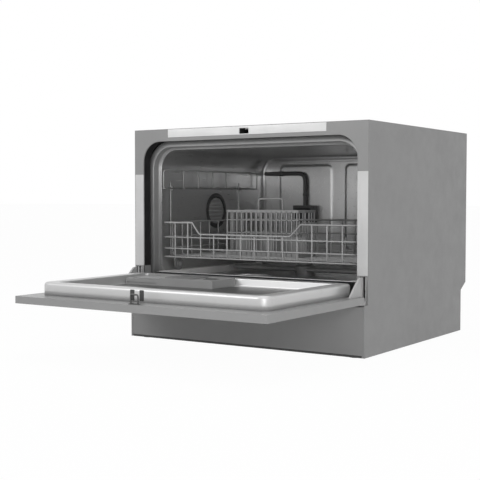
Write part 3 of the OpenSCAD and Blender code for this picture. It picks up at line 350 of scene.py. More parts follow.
class Finish(Nodes):
    # one material: a Principled shader whose colour, roughness and relief come from patterns
    # in the object's space
    def __init__(self, name, metallic=0.0, coat=0.0, specular=0.5):
        self.material = bpy.data.materials.new(name)
        self.material.use_nodes = True
        super().__init__(self.material.node_tree)
        self.shader = self.node("ShaderNodeBsdfPrincipled", {}, {"Metallic": metallic, "Coat Weight": coat,
                                                                  "Specular IOR Level": specular})
        self.place = self.node("ShaderNodeTexCoord").outputs["Object"]
        self.output = self.node("ShaderNodeOutputMaterial", {}, {"Surface": self.shader.outputs[0]})

    def where(self, stretch=(1, 1, 1)):
        return self.node("ShaderNodeMapping", {}, {"Vector": self.place, "Scale": stretch}).outputs[0]

    def noise(self, scale, detail=2.0, rough=0.5, stretch=(1, 1, 1)):
        node = self.node("ShaderNodeTexNoise", {}, {"Vector": self.where(stretch), "Scale": scale,
                                                    "Detail": detail, "Roughness": rough})
        return Value(self, node.outputs["Fac"])

    def cells(self, scale, feature="F1", stretch=(1, 1, 1)):
        node = self.node("ShaderNodeTexVoronoi", {"feature": feature}, {"Vector": self.where(stretch),
                                                                        "Scale": scale})
        return Value(self, node.outputs["Distance"])

    def cellShade(self, scale):
        node = self.node("ShaderNodeTexVoronoi", {}, {"Vector": self.where(), "Scale": scale})
        return Value(self, self.node("ShaderNodeSeparateColor", {}, {0: node.outputs["Color"]}).outputs[0])

    def blend(self, amount, first, second):
        # a colour between two colours
        first, second = ((*c, 1) if isinstance(c, tuple) else c for c in (first, second))
        return self.node("ShaderNodeMix", {"data_type": "RGBA"}, {0: amount, 6: first, 7: second}).outputs[2]

    def finish(self, colour, roughness, relief=None, depth=0.0002, strength=0.4):
        for socket, value in (("Base Color", colour), ("Roughness", roughness)):
            if isinstance(value, Value):
                value = value.socket
            self.tree.links.new(value, self.shader.inputs[socket])
        if relief is not None:
            bump = self.node("ShaderNodeBump", {}, {"Height": relief, "Strength": strength,
                                                    "Distance": depth})
            self.tree.links.new(bump.outputs[0], self.shader.inputs["Normal"])
        return self.material


def grey(level, warm=0.0):
    # a grey, or one with a little more red and less blue
    return (level * (1 + warm), level, level * (1 - warm))


def paintedSheet(name, level, rough=0.4):
    # baked paint on steel: orange peel, a faint drift in tone, and a few dull patches
    f = Finish(name, coat=0.15)
    drift, peel, patches = f.noise(5, 3), f.noise(700, 2), f.noise(34, 4, 0.6)
    colour = f.blend(drift.spread(0.3, 0.7), grey(level * 0.955), grey(level * 1.045))
    return f.finish(colour, patches.spread(0.35, 0.75, rough - 0.05, rough + 0.09), peel, 0.0001, 0.25)


def brushedSteel(name, level, rough=0.3, grain=(6, 900, 900), depth=0.00005):
    # satin steel with drawn lines along the grain
    f = Finish(name, metallic=1.0)
    lines, drift = f.noise(1, 3, 0.6, grain), f.noise(7, 2)
    colour = f.blend(lines * 0.6 + drift * 0.4, grey(level * 0.9), grey(level * 1.08))
    dull = lines.spread(0.3, 0.7, rough - 0.05, rough + 0.08) + drift * 0.04
    return f.finish(colour, dull, lines, depth, 0.35)


def brightSteel(name, level, rough=0.16, metal=1.0):
    # rolled stainless sheet: satin, a little wavy, with faint dried water marks
    f = Finish(name, metallic=metal)
    waves, lines, marks = f.noise(9, 2), f.noise(1, 2, 0.5, (500, 14, 500)), f.cells(55, "SMOOTH_F1")
    stain = (1 - marks.spread(0.12, 0.3)) * f.noise(13, 2).spread(0.5, 0.72)
    colour = f.blend(stain * 0.35 + lines * 0.25, grey(level), grey(level * 0.86))
    dull = stain * 0.14 + lines.spread(0.3, 0.7, rough - 0.03, rough + 0.05)
    return f.finish(colour, dull, waves, 0.0012, 0.12)


def moulded(name, level, rough=0.45, tint=0.0, grain=1100, coat=0.0):
    # moulded plastic: fine texture from the tool, and soft flow marks in the tone
    f = Finish(name, coat=coat)
    flow, texture = f.noise(12, 3, 0.55), f.cells(grain)
    colour = f.blend(flow.spread(0.3, 0.7), grey(level * 0.93, tint), grey(level * 1.07, tint))
    return f.finish(colour, flow.spread(0.25, 0.75, rough - 0.06, rough + 0.07), texture, 0.00008, 0.3)


def rubberFinish(name, level):
    # soft black rubber with a bloom of dust
    f = Finish(name, specular=0.3)
    dust, pores = f.noise(40, 4, 0.7), f.noise(1500, 2)
    colour = f.blend(dust.spread(0.45, 0.85), grey(level), grey(level * 2.2))
    return f.finish(colour, dust.spread(0.3, 0.8, 0.62, 0.8), pores, 0.0001, 0.4)


def coatedWire(name, level):
    # dipped vinyl over wire: slightly uneven, satin, a bit darker where it is thin
    f = Finish(name, coat=0.2)
    drops, thin = f.noise(160, 2), f.noise(26, 3)
    colour = f.blend(thin.spread(0.35, 0.7), grey(level * 0.88), grey(level * 1.06))
    return f.finish(colour, drops.spread(0.3, 0.7, 0.27, 0.4), drops, 0.0003, 0.3)


def zincPlate(name, level, rough=0.38):
    # galvanised steel: flat crystals of slightly different shade
    f = Finish(name, metallic=1.0)
    crystals, fine = f.cellShade(95), f.noise(420, 3)
    colour = f.blend(crystals * 0.7 + fine * 0.3, grey(level * 0.82), grey(level * 1.1))
    return f.finish(colour, crystals.spread(0, 1, rough - 0.07, rough + 0.1), fine, 0.00006, 0.3)


def boardFinish(name):
    # circuit board: green lacquer with paler copper tracks
    f = Finish(name, coat=0.4)
    tracks, drift = f.cells(420, "DISTANCE_TO_EDGE", (1, 1.8, 1)), f.noise(60, 2)
    colour = f.blend(tracks.spread(0.03, 0.06), (0.05, 0.2, 0.09), (0.02, 0.1, 0.045))
    return f.finish(colour, drift.spread(0.3, 0.7, 0.28, 0.42), tracks.spread(0.02, 0.08), 0.00005, 0.4)


finishes = {
    "cabinet_paint": paintedSheet("cabinetPaint", 0.226, 0.42),
    "frame_steel": paintedSheet("framePaint", 0.262, 0.38),
    # painted light: the cabinet's paint made lighter for the plinth, to offset the shadow the door casts over
    # it
    "plinth_paint": paintedSheet("plinthPaintPaintedLight", 0.265, 0.45),
    "liner_steel": brightSteel("linerSteel", 0.58, 0.34, 0.5),
    # painted shade: a much darker copy of the liner steel, for the recess floor's dark reflection and shade
    "recess_steel_painted_shade": brightSteel("recessSteelPaintedShade", 0.11, 0.36, 0.6),
    "collar_steel": brightSteel("collarSteel", 0.42, 0.42, 0.35),
    "riser_plastic": moulded("riserPlastic", 0.085, 0.5),
    "cutlery_plastic": moulded("cutleryPlastic", 0.3, 0.4),
    "dark_steel": brushedSteel("darkSteel", 0.1, 0.35, (300, 300, 300)),
    "white_trim": moulded("whiteTrim", 0.74, 0.3, coat=0.2),
    # painted shade: a darker copy of the white trim for the side strips, which catch less light than the top
    # strip
    "side_trim_painted_shade": moulded("sideTrimPaintedShade", 0.56, 0.4, coat=0.1),
    # painted light: the hinge arms and brackets are painted far lighter than the cabinet paint, to stand in
    # for light in the shadowed hinge slots
    "arm_paint_painted_light": paintedSheet("armPaintPaintedLight", 0.42, 0.5),
    "tub_steel": brightSteel("tubSteel", 0.6, 0.3, 0.82),
    "black_rubber": rubberFinish("blackRubber", 0.015),
    "dark_plastic": moulded("darkPlastic", 0.035, 0.42),
    "grey_plastic": moulded("greyPlastic", 0.2, 0.4),
    "pale_plastic": moulded("palePlastic", 0.72, 0.38, 0.01),
    "coated_wire": coatedWire("coatedWire", 0.36),
    "zinc_steel": zincPlate("zincSteel", 0.55),
    "lens_black": moulded("lensBlack", 0.012, 0.08, coat=1.0, grain=2600),
    "circuit_green": boardFinish("circuitBoard"),
}
slotOf = {part["node"]: part["material_slot"] for part in frame["record"]["subparts"]}
# the hinge arms and brackets take the lightened paint, as painted light
special = {"hinge_arms": "arm_paint_painted_light", "hinge_brackets": "arm_paint_painted_light", "dispenser": "cutlery_plastic",
           "sill_seal": "cutlery_plastic", "door_panel": "frame_steel"}
for node, thing in frame["nodes"].items():
    thing.data.materials.clear()
    thing.data.materials.append(finishes[special.get(node, slotOf[node])])
print("finishes on", len(slotOf), "nodes")


# Door: pressed liner, striker loop and dispenser trim

liner = {"rimEdge": 6.0, "lip": 4.0, "draft": 3.0, "recessX": 220, "recessY": (-522, -263),
         "recessFloor": 122, "freeRadius": 20, "hingeRadius": 6, "recessRadius": 10,
         "bead": 1.0, "beadAt": (16, 18, 21), "floorRings": (30, 60, 100), "sheet": 0.8, "y": (-544, -255)}
striker = {"half": 9.5, "wire": 3.0, "bend": 4, "plateX": 10.5, "plateY": 4.4, "screwX": 3.4,
           "screw": ((0.1, 1.7), (1.6, 1.7), (2.1, 1.2), (2.1, 0.8)),
           # painted shade: dark marks on the liner wall behind the loop's legs
           "shadeMarksX": (-27, -6), "shadeMarkHalf": 4.6, "shadeMarkDrop": 22, "shadeMarkTop": 3}
unit = {"split": -128, "stepTop": 134.8, "edge": 2.4, "sink": 0.4, "lift": 0.7, "rim": 6, "ribWide": 3,
        "ribPitch": 9, "ribRise": 1.2}


def makeLiner():
    # rings from the skirt over the rim and down into the recess:
    # edges are e (1 - cos t) in and e (1 - sin t) down
    low, high = nodeBox("door_liner")
    edge, lip, draft, floor, top = (liner[k] for k in ("rimEdge", "lip", "draft", "recessFloor", "rimTop"))
    quarter = np.linspace(0, math.pi / 2, 6)

    def outer(inset, z):
        radii = np.array([liner["hingeRadius"]] * 2 + [liner["freeRadius"]] * 2) - inset
        return roundedLoop((low[0] + inset, high[0] - inset), (low[1] + inset, high[1] - inset),
                           np.maximum(radii, 1), 8), z

    def inner(grow, z):
        x, y = liner["recessX"] + grow, liner["recessY"]
        return roundedLoop((-x, x), (y[0] - grow, y[1] + grow), max(liner["recessRadius"] + grow, 1), 8), z

    rings = [outer(0, low[2]), outer(0, (low[2] + top - edge) / 2)]
    rings += [outer(edge * (1 - math.cos(t)), top - edge * (1 - math.sin(t))) for t in quarter]
    rings += [inner(draft + lip * (1 - math.sin(t)), top - lip * (1 - math.cos(t))) for t in quarter]
    rings += [inner(-lip * (1 - math.cos(t)), floor + lip * (1 - math.sin(t))) for t in quarter]
    makePiece("linerSheet", [sheetGrid(ringStack(rings), along=(0, 0, 1), closeColumns=True)],
              finishes["liner_steel"], "door", ["door_liner"], thick=liner["sheet"])
    # the recess floor: flat, with a low bead round it; its much darker copy of the liner steel is painted
    # shade and dark reflection
    bead = liner["bead"]
    foot, flank, crest = liner["beadAt"]
    steps = [(lip, 0), (foot, 0), (flank, bead * 0.5), (crest, bead)]
    steps += [(at, bead) for at in liner["floorRings"]]
    rings = [inner(-grow, floor + rise) for grow, rise in steps]
    points, faces = sheetGrid(ringStack(rings), along=(0, 0, 1), closeColumns=True)
    columns = len(rings[0][0])
    faces.append(list(range((len(rings) - 1) * columns, len(rings) * columns)))
    makePiece("linerFloor", [(points, faces)], finishes["recess_steel_painted_shade"], "door",
              thick=liner["sheet"])


def makeStriker():
    # a loop of round wire on a foot plate with two screws
    low, high = nodeBox("latch_striker")
    mid = (low + high) / 2
    half, wire = striker["half"], striker["wire"]
    left, right, top = mid[0] - half + wire / 2, mid[0] + half - wire / 2, high[2] - wire / 2
    corners = [(left, low[2]), (left, top), (right, top), (right, low[2])]
    path = roundCorners([[x, mid[1], z] for x, z in corners], striker["bend"], 5)
    plateX, plateY = striker["plateX"], striker["plateY"]
    plate = softBox((mid[0] - plateX, mid[0] + plateX), (mid[1] - plateY, mid[1] + plateY),
                    (low[2], low[2] + 1), 2, 0.3)
    screws = [turned([(radius, low[2] + rise) for radius, rise in striker["screw"]],
                     (mid[0] + dx, mid[1]), sides=16) for dx in (-striker["screwX"], striker["screwX"])]
    makePiece("strikerLoop", [tube(path, wire / 2, 12), plate] + screws, finishes["dark_steel"], "door",
              ["latch_striker"])
    # painted shade: two dark marks on the liner's free wall, behind the loop's legs, where their shadow and
    # reflection fall
    y, shadeMarkHalf = liner["y"][0], striker["shadeMarkHalf"]
    z = (liner["rimTop"] - striker["shadeMarkDrop"], liner["rimTop"] - striker["shadeMarkTop"])
    shadeMarks = [softBox((at - shadeMarkHalf, at + shadeMarkHalf), (y - 0.8, y + 0.4), z, 1.6, 0.5, "y")
            for at in striker["shadeMarksX"]]
    makePiece("strikerPaintedShade", shadeMarks, finishes["dark_plastic"], "door")


def makeDispenserTrim():
    # raised edges on three sides of the unit, a rim along the hinge wall and ribs on its low end
    low, high = nodeBox("dispenser")
    split, wide, sink, step = (unit[k] for k in ("split", "edge", "sink", "stepTop"))
    lift = (high[2] - sink, high[2] + unit["lift"])
    edges = [softBox((split, high[0]), (low[1], low[1] + wide), lift, 0.8, 0.4),
             softBox((split, high[0]), (high[1] - wide, high[1]), lift, 0.8, 0.4),
             softBox((high[0] - wide, high[0]), (low[1], high[1]), lift, 0.8, 0.4)]
    rim = softBox((low[0], split), (high[1] - unit["rim"], high[1] + 0.6),
                  (step - sink, liner["rimTop"] - sink), 1, 0.6)
    ribs = [softBox((low[0] + 8, split - 8), (y, y + unit["ribWide"]), (step - sink, step + unit["ribRise"]),
                    1.2, 0.6) for y in np.arange(low[1] + 12, high[1] - 16, unit["ribPitch"])]
    makePiece("dispenserTrim", edges + [rim] + ribs, finishes["cutlery_plastic"], "door")


liner["rimTop"] = nodeBox("door_liner")[1][2]
makeLiner()
makeStriker()
makeDispenserTrim()
print("door dressed")


# Opening: white trims, rolled frame lip and the ribbed black seal

opening = {"half": 252, "top": 413, "radius": 42, "low": 107.5, "face": -236}
seal = {"inset": 2.8, "back": -211.9, "low": 152, "thick": 5.4, "gap": 0.8, "ribs": 13,
        "valley": 0.35, "rib": 0.5}
frameLip = {"roll": 2.3, "gap": 0.05, "inset": 0.6, "rise": 46, "cornerWide": 1.2, "cornerZ": (99, 152),
            "edgeX": (269.6, 274.9), "edgeY": (-250.3, -249.2), "edgeZ": (3, 97)}
trims = {"holeX": (-9, 13), "holeZ": (422, 433), "proud": 0.25, "overlap": 0.5, "sideWide": 22}


def makeSeal():
    # a ribbed section of (outwards, y) carried round the arch
    front, back, thick = opening["face"] + seal["inset"], seal["back"] - seal["gap"], seal["thick"]
    ribs = np.linspace(front, back, seal["ribs"])
    inner = [(seal["valley"] + seal["rib"] * (i % 2), y) for i, y in enumerate(ribs)]
    section = [(thick, front), (thick, back)] + inner[::-1]
    arch = archPath(opening["half"], seal["low"], opening["top"], opening["radius"])
    makePiece("doorSeal", [solid(archSweep(arch, section))], finishes["black_rubber"], "cabinet",
              ["door_gasket"])


def makeFrameLip():
    # the frame's inner edge is rolled back: a quarter circle round the whole arch
    roll, gap, inset = frameLip["roll"], frameLip["gap"], frameLip["inset"]
    half, face = opening["half"], opening["face"]
    t = np.linspace(0, math.pi / 2, 5)
    outside = [(roll * (1 - math.cos(a)) + gap, face + roll * (1 - math.sin(a)) - gap) for a in t]
    section = outside + [(roll, face + 0.6), (1.0, face + roll)]
    arch = archPath(half - inset, opening["low"] + frameLip["rise"], opening["top"] - inset,
                    opening["radius"] - inset)
    lip = solid(archSweep(arch, section))
    # lower corners: the frame turns in behind the opening's legs, and the side panels show
    # a narrow edge below
    turnedIn = [softBox(sorted((s * half, s * (half + frameLip["cornerWide"]))), (face + 0.3, seal["back"]),
                        frameLip["cornerZ"], 0.4, 0.3) for s in (-1, 1)]
    edges = [softBox(sorted(s * x for x in frameLip["edgeX"]), frameLip["edgeY"], frameLip["edgeZ"], 0.4, 0.3)
             for s in (-1, 1)]
    makePiece("frameLip", [lip] + turnedIn + edges, finishes["frame_steel"], "cabinet")


def makeTrims():
    # the top strip is made of four parts, which leave the latch hole open
    low, high = nodeBox("frame_trim_top")
    hole, overlap = trims["holeX"], trims["overlap"]
    y, z = (low[1] - trims["proud"], high[1]), (low[2], high[2])
    across = (hole[0] - overlap, hole[1] + overlap)
    parts = [softBox((low[0], hole[0]), y, z, 0.6, 0.5, "y"),
             softBox((hole[1], high[0]), y, z, 0.6, 0.5, "y"),
             softBox(across, y, (z[0], trims["holeZ"][0]), 0.3, 0.3, "y"),
             softBox(across, y, (trims["holeZ"][1], z[1]), 0.3, 0.3, "y")]
    makePiece("topTrim", parts, finishes["white_trim"], "cabinet", ["frame_trim_top"])
    # the side strips wear the darker copy of the white trim, as painted shade
    low, high = nodeBox("frame_trim_sides")
    y, inner = (low[1] - trims["proud"], high[1]), high[0] - trims["sideWide"]
    strips = [softBox(sorted((s * high[0], s * inner)), y, (low[2], high[2]), 0.8, 0.5, "y") for s in (-1, 1)]
    makePiece("sideTrims", strips, finishes["side_trim_painted_shade"], "cabinet", ["frame_trim_sides"])


makeSeal()
makeFrameLip()
makeTrims()
print("opening dressed")


# Tub: one bent sheet for walls and ceiling, a pressed back and a pressed floor

tub = {"half": 238, "ceiling": 396, "radius": 39, "low": 124, "mouth": -211.2, "collarBack": -192,
       "back": 215, "corner": 14, "collar": 6, "flange": 18.8, "sheet": 0.9}
backPanels = ({"x": (-190, -42), "z": (172, 376)}, {"x": (-10, 208), "z": (172, 376)})
pressed = {"half": 230, "gap": 0.1, "topGap": 6, "corner": 14, "fall": 6, "depth": 2.5,
           "beadZ": 384, "beadEdge": (1.5, 4), "bead": 1.2}
floorShape = {"foldsY": (-211.3, -202.5, -187.5, 185, 215), "sill": 139, "bed": 125, "rise": 145,
              "wallBend": 12, "sump": (-100, -70), "sumpRadius": 54.5, "sumpDrop": 7}


def makeTubWrap():
    # (outwards, y) carried round the arch, with round bends where the collar steps in
    # and where the back begins
    corner, collar, mouth, back = (tub[k] for k in ("corner", "collar", "mouth", "back"))
    step = tub["collarBack"]
    profile = roundCorners([[tub["flange"], mouth], [collar, mouth], [collar, step - 3], [0, step + 1],
                            [0, back], [-corner - 2, back]], [0, 2, 4, 4, corner, 0], 6)
    arch = archPath(tub["half"], tub["low"], tub["ceiling"], tub["radius"], 14)
    middle = (0, 0, 260)
    points = archSweep(arch, profile)
    front = sum(1 for _, y in profile if y < step + 0.5)
    makePiece("tubCollar", [sheetGrid(points[:, :front], at=middle)], finishes["collar_steel"], "cabinet",
              thick=tub["sheet"])
    makePiece("tubWrap", [sheetGrid(points[:, front - 1:], at=middle)], finishes["tub_steel"], "cabinet",
              ["tub_shell"], thick=tub["sheet"])


def makeTubBack():
    # y = back - depth * panel, where a panel is one inside its round rectangle and falls off
    # towards its edge; a raised bead runs across above both
    half, fall = pressed["half"], pressed["fall"]
    x, z = np.meshgrid(np.linspace(-half, half, 231),
                       np.linspace(tub["low"], tub["ceiling"] - pressed["topGap"], 141), indexing="ij")
    press = sum(1 - smoothStep(boxDistance(x, z, p["x"], p["z"], pressed["corner"]), -fall, 0)
                for p in backPanels)
    bead = 1 - smoothStep(np.abs(z - pressed["beadZ"]), *pressed["beadEdge"])
    y = tub["back"] - pressed["gap"] - pressed["depth"] * press - pressed["bead"] * bead
    makePiece("tubBackSheet", [sheetGrid(np.stack([x, y, z], -1), along=(0, -1, 0))], finishes["tub_steel"],
              "cabinet", ["tub_back"], thick=tub["sheet"], smooth=60)


def makeTubFloor():
    # the height follows the fold lines from sill to back, rises to the side walls and dips at the sump
    half, foldsY = tub["half"], floorShape["foldsY"]
    sill, bed, bend, sump = (floorShape[k] for k in ("sill", "bed", "wallBend", "sump"))
    x, y = np.meshgrid(np.linspace(-half, half, 221), np.linspace(foldsY[0], tub["back"], 201), indexing="ij")
    folds = np.interp(y, foldsY, [sill, sill, bed, bed, floorShape["rise"]])
    side = np.maximum(np.abs(x) - (half - bend), 0)
    wall = bend - np.sqrt(np.maximum(bend**2 - side**2, 0))
    away, radius = np.hypot(x - sump[0], y - sump[1]), floorShape["sumpRadius"]
    dip = floorShape["sumpDrop"] * (1 - smoothStep(away, radius - 1.5, radius))
    inTub = np.minimum(folds + wall * (folds < sill - 0.5), sill - 2)
    z = np.where(folds < sill - 1, inTub, folds) - dip
    makePiece("tubFloorSheet", [sheetGrid(np.stack([x, y, z], -1), along=(0, 0, 1))], finishes["tub_steel"],
              "cabinet", ["tub_floor"], thick=tub["sheet"], smooth=50)


makeTubWrap()
makeTubBack()
makeTubFloor()
print("tub dressed")


# Basket: hoops of coated wire, rails, tines, shelf posts and wheel brackets

basket = {"x": 233, "front": -194.5, "back": 185, "floor": 170, "top": 243, "dip": 219,
          "dipX": (-155, -137, 84, 108), "wire": 1.6, "rail": 2.0, "step": 33, "corner": 12, "bend": 6,
          "rails": (212, 188), "cross": 1.5, "tine": 1.4, "tineTop": 214,
          "tineRows": ((4, 9), (7, 1), (9, 1)), "post": 1.5, "postX": -233.5, "posts": (-166, 98),
          "rodX": -230, "rodZ": 316, "wheelX": 225, "wheelY": 150, "axle": 152.6}
shelf = {"wire": 1.6, "bar": 1.5, "corner": 7, "first": 71, "step": 55, "bars": 3}


def makeBasket():
    x, front, back, floor, top, dip = (basket[k] for k in ("x", "front", "back", "floor", "top", "dip"))
    wire, rail, corner, bend = (basket[k] for k in ("wire", "rail", "corner", "bend"))
    d = basket["dipX"]
    wires = []
    # rails: three closed loops, and a top rail whose front part dips between the hands
    for z in basket["rails"] + (floor,):
        loop = roundedLoop((-x, x), (front, back), corner, 5)
        wires.append(tube(raiseOutline(loop, z, "z"), wire, 8, closed=True))
    sides = [[d[0], front, top], [-x, front, top], [-x, back, top], [x, back, top], [x, front, top],
             [d[3], front, top]]
    wires.append(tube(roundCorners(sides, corner, 5), rail, 8))
    dipped = [(d[0] - 3, top), (d[0], top), (d[1], dip), (d[2], dip), (d[3], top), (d[3] + 3, top)]
    wires.append(tube(roundCorners([[at, front, z] for at, z in dipped], 5, 3), rail, 8))
    countX, countY = int(2 * x // basket["step"]), int((back - front) // basket["step"])
    xs, ys = np.linspace(-x, x, countX + 1)[1:-1], np.linspace(front, back, countY + 1)[1:-1]
    # hoops: down the front, along the floor and up the back; the others run from side to side
    for at in xs:
        height = dip if d[0] < at < d[3] else top
        bent = [[at, front, height], [at, front, floor], [at, back, floor], [at, back, top]]
        wires.append(tube(roundCorners(bent, bend, 4), wire, 8))
    cross = floor + basket["cross"]
    for at in ys:
        bent = [[-x, at, top], [-x, at, cross], [x, at, cross], [x, at, top]]
        wires.append(tube(roundCorners(bent, bend, 4), wire, 8))
    # tines lean back a little and stand on a cross wire
    tineTop = basket["tineTop"]
    for row, first in basket["tineRows"]:
        y = ys[row - 1]
        for at in xs[first - 1:]:
            bent = [[at, y, cross], [at, y + 1.5, tineTop - 8], [at, y + 2.5, tineTop]]
            wires.append(tube(roundCorners(bent, 6, 3), basket["tine"], 6))
    # posts beside the wall, each with a clip for the cup shelf's rod, tied to the rails
    postX, rodZ = basket["postX"], basket["rodZ"]
    near, far = postX - 1, basket["rodX"] + 3.4
    for y in basket["posts"]:
        wires.append(tube([[postX, y, floor], [postX, y, 250], [postX, y, rodZ + 14]], basket["post"], 8))
        along = (y - 3, y + 3)
        wires.append(softBox((near, far), along, (rodZ - 4.5, rodZ - 1.7), 1, 0.4))
        wires.append(softBox((near, near + 1.6), along, (rodZ - 3, rodZ + 4), 0.5, 0.4))
        wires.append(softBox((near, far), along, (rodZ + 1.7, rodZ + 4.2), 1, 0.4))
    # wheel brackets and pins
    axle, wheel = basket["axle"], basket["wheelX"]
    pin = [(0.1, x - 2), (3, x - 2), (3, wheel - 3.4), (4.5, wheel - 3.4), (4.5, wheel - 4.8),
           (0.1, wheel - 5.2)]
    for side in (-1, 1):
        for y in (-basket["wheelY"], basket["wheelY"]):
            span = sorted((side * (x - 2.5), side * (x + 1)))
            wires.append(softBox(span, (y - 5, y + 5), (axle - 6, floor + 2), 2, 0.5))
            wires.append(turned([(r, side * at) for r, at in pin], (y, axle), "x", 20))
    makePiece("basketWires", wires, finishes["coated_wire"], "basket", ["basket"], smooth=50)


def makeShelf():
    # a closed loop on its rod, with straight bars across
    low, high = nodeBox("cup_shelf")
    wire, x, z = shelf["wire"], basket["rodX"], basket["rodZ"]
    front, back, top = low[1] + wire, high[1] - wire, high[2] - wire
    loop = roundedLoop((front, back), (z, top), shelf["corner"], 5)
    first = front + shelf["first"]
    wires = [tube(raiseOutline(loop, x, "x"), wire, 8, closed=True),
             tube([[x, low[1], z], [x, 0, z], [x, high[1], z]], wire, 8),
             tube([[x, first, z], [x, first, (z + top) / 2], [x, first, top]], wire, 8)]
    wires += [tube([[x, y, z], [x, y, (z + top) / 2], [x, y, top]], shelf["bar"], 8)
              for y in first + shelf["step"] * np.arange(1, shelf["bars"] + 1)]
    makePiece("shelfWires", wires, finishes["coated_wire"], "cup_shelf", ["cup_shelf"],
              smooth=50)


makeBasket()
makeShelf()
print("basket dressed")


# Round vent cap on the left wall: a black rim around paler louvres

vent = {"y": 11, "z": 266, "wall": -238, "outer": 40, "inner": 30.5, "rise": 2.2, "louvres": 7, "pitch": 8.6}


def makeVent():
    # a flat rim and a neck turned round the cap, with slats as long as the chord at their height
    wall, outer, inner, rise, count = (vent[k] for k in ("wall", "outer", "inner", "rise", "louvres"))
    centre = (vent["y"], vent["z"])
    section = [(inner, wall), (inner, wall + rise * 0.7), (inner + 1.2, wall + rise),
               (outer - 1.6, wall + rise), (outer - 0.3, wall + rise * 0.6), (outer, wall)]
    neck = [(inner - 1.5, wall - 6.8), (inner - 1.5, wall), (inner, wall), (inner, wall - 6.8)]
    makePiece("ventRim", [hoop(section, centre, "x", 64), hoop(neck, centre, "x", 48)],
              finishes["dark_plastic"], "cabinet", ["vent_cap"])
    plate = [(0.1, wall - 1.5), (inner - 0.3, wall - 1.5), (inner - 0.3, wall - 0.5), (0.1, wall - 0.5)]
    slats = [turned(plate, centre, "x", 48)]
    for i in range(count):
        z = (i - (count - 1) / 2) * vent["pitch"]
        half = math.sqrt((inner - 1)**2 - z**2)
        slats.append(softBox((wall - 0.6, wall + rise * 0.6), (centre[0] - half, centre[0] + half),
                             (centre[1] + z - 2.4, centre[1] + z + 1.0), 0.8, 0.6, "y"))
    makePiece("ventLouvres", slats, finishes["cutlery_plastic"], "cabinet")


# Riser: a ribbed block and a bent pipe on the back wall

riser = {"x": -113, "y": 206.5, "radius": 5, "low": 277, "top": 354, "bend": 12, "end": -229,
         "wall": 214, "clipX": (-185, -178), "back": 212.5,
         "block": {"x": (-138, -82), "y": (188.5, 212.4), "z": (237, 277)}}


def makeRiser():
    # a pipe down from the left wall into the block, with a clip and a ring
    x, y, radius, low, top, end = (riser[k] for k in ("x", "y", "radius", "low", "top", "end"))
    path = roundCorners([[end + 1, y, top], [x, y, top], [x, y, low - 2]], riser["bend"] * 1.7, 8)
    inlet, wall = end + radius, riser["wall"]
    ring = [(radius, 300), (radius + 1, 301), (radius + 1, 305), (radius, 306)]
    pipe = [tube(path, radius, 16),
            tube([[inlet, y, top], [inlet, (y + wall) / 2, top], [inlet, wall, top]], radius - 1, 12),
            softBox(riser["clipX"], (y - radius - 0.8, riser["back"]), (top - radius - 1, top + radius + 1),
                    2, 0.4, "x"),
            hoop(ring, (x, y), sides=24)]
    makePiece("riserPipe", pipe, finishes["riser_plastic"], "cabinet", ["riser_pipe"])
    (x0, x1), (y0, y1), (z0, z1) = (riser["block"][k] for k in "xyz")
    neck = [(0.1, z1 - 1), (radius + 3, z1 - 1), (radius + 3, z1), (radius + 0.6, z1), (0.1, z1)]
    block = [softBox((x0, x1), (y0, y1), (z0, z1), 3, 1.2, steps=4),
             softBox((x0 + 6, x1 - 6), (y0, y0 + 2), (z0 + 6, z1 - 6), 2, 0.6, "y"),
             turned(neck, (x, y), sides=24)]
    makePiece("riserBlock", block, finishes["riser_plastic"], "cabinet", ["riser_block"])


# Cutlery basket: thin slats between a tray, two rails and a rim, with dividers and a bent handle

cutlery = {"x": (-121, 59), "y": (-120, -46), "low": 171.8, "top": 269.8, "tray": 9, "rim": 5, "slat": 2.6,
           "wall": 1.5, "slatsX": 15, "slatsY": 6, "rails": (222, 249), "cells": 3, "divider": 0.8,
           "dividerTop": 42, "handle": 295.8, "handleWire": 2.2}


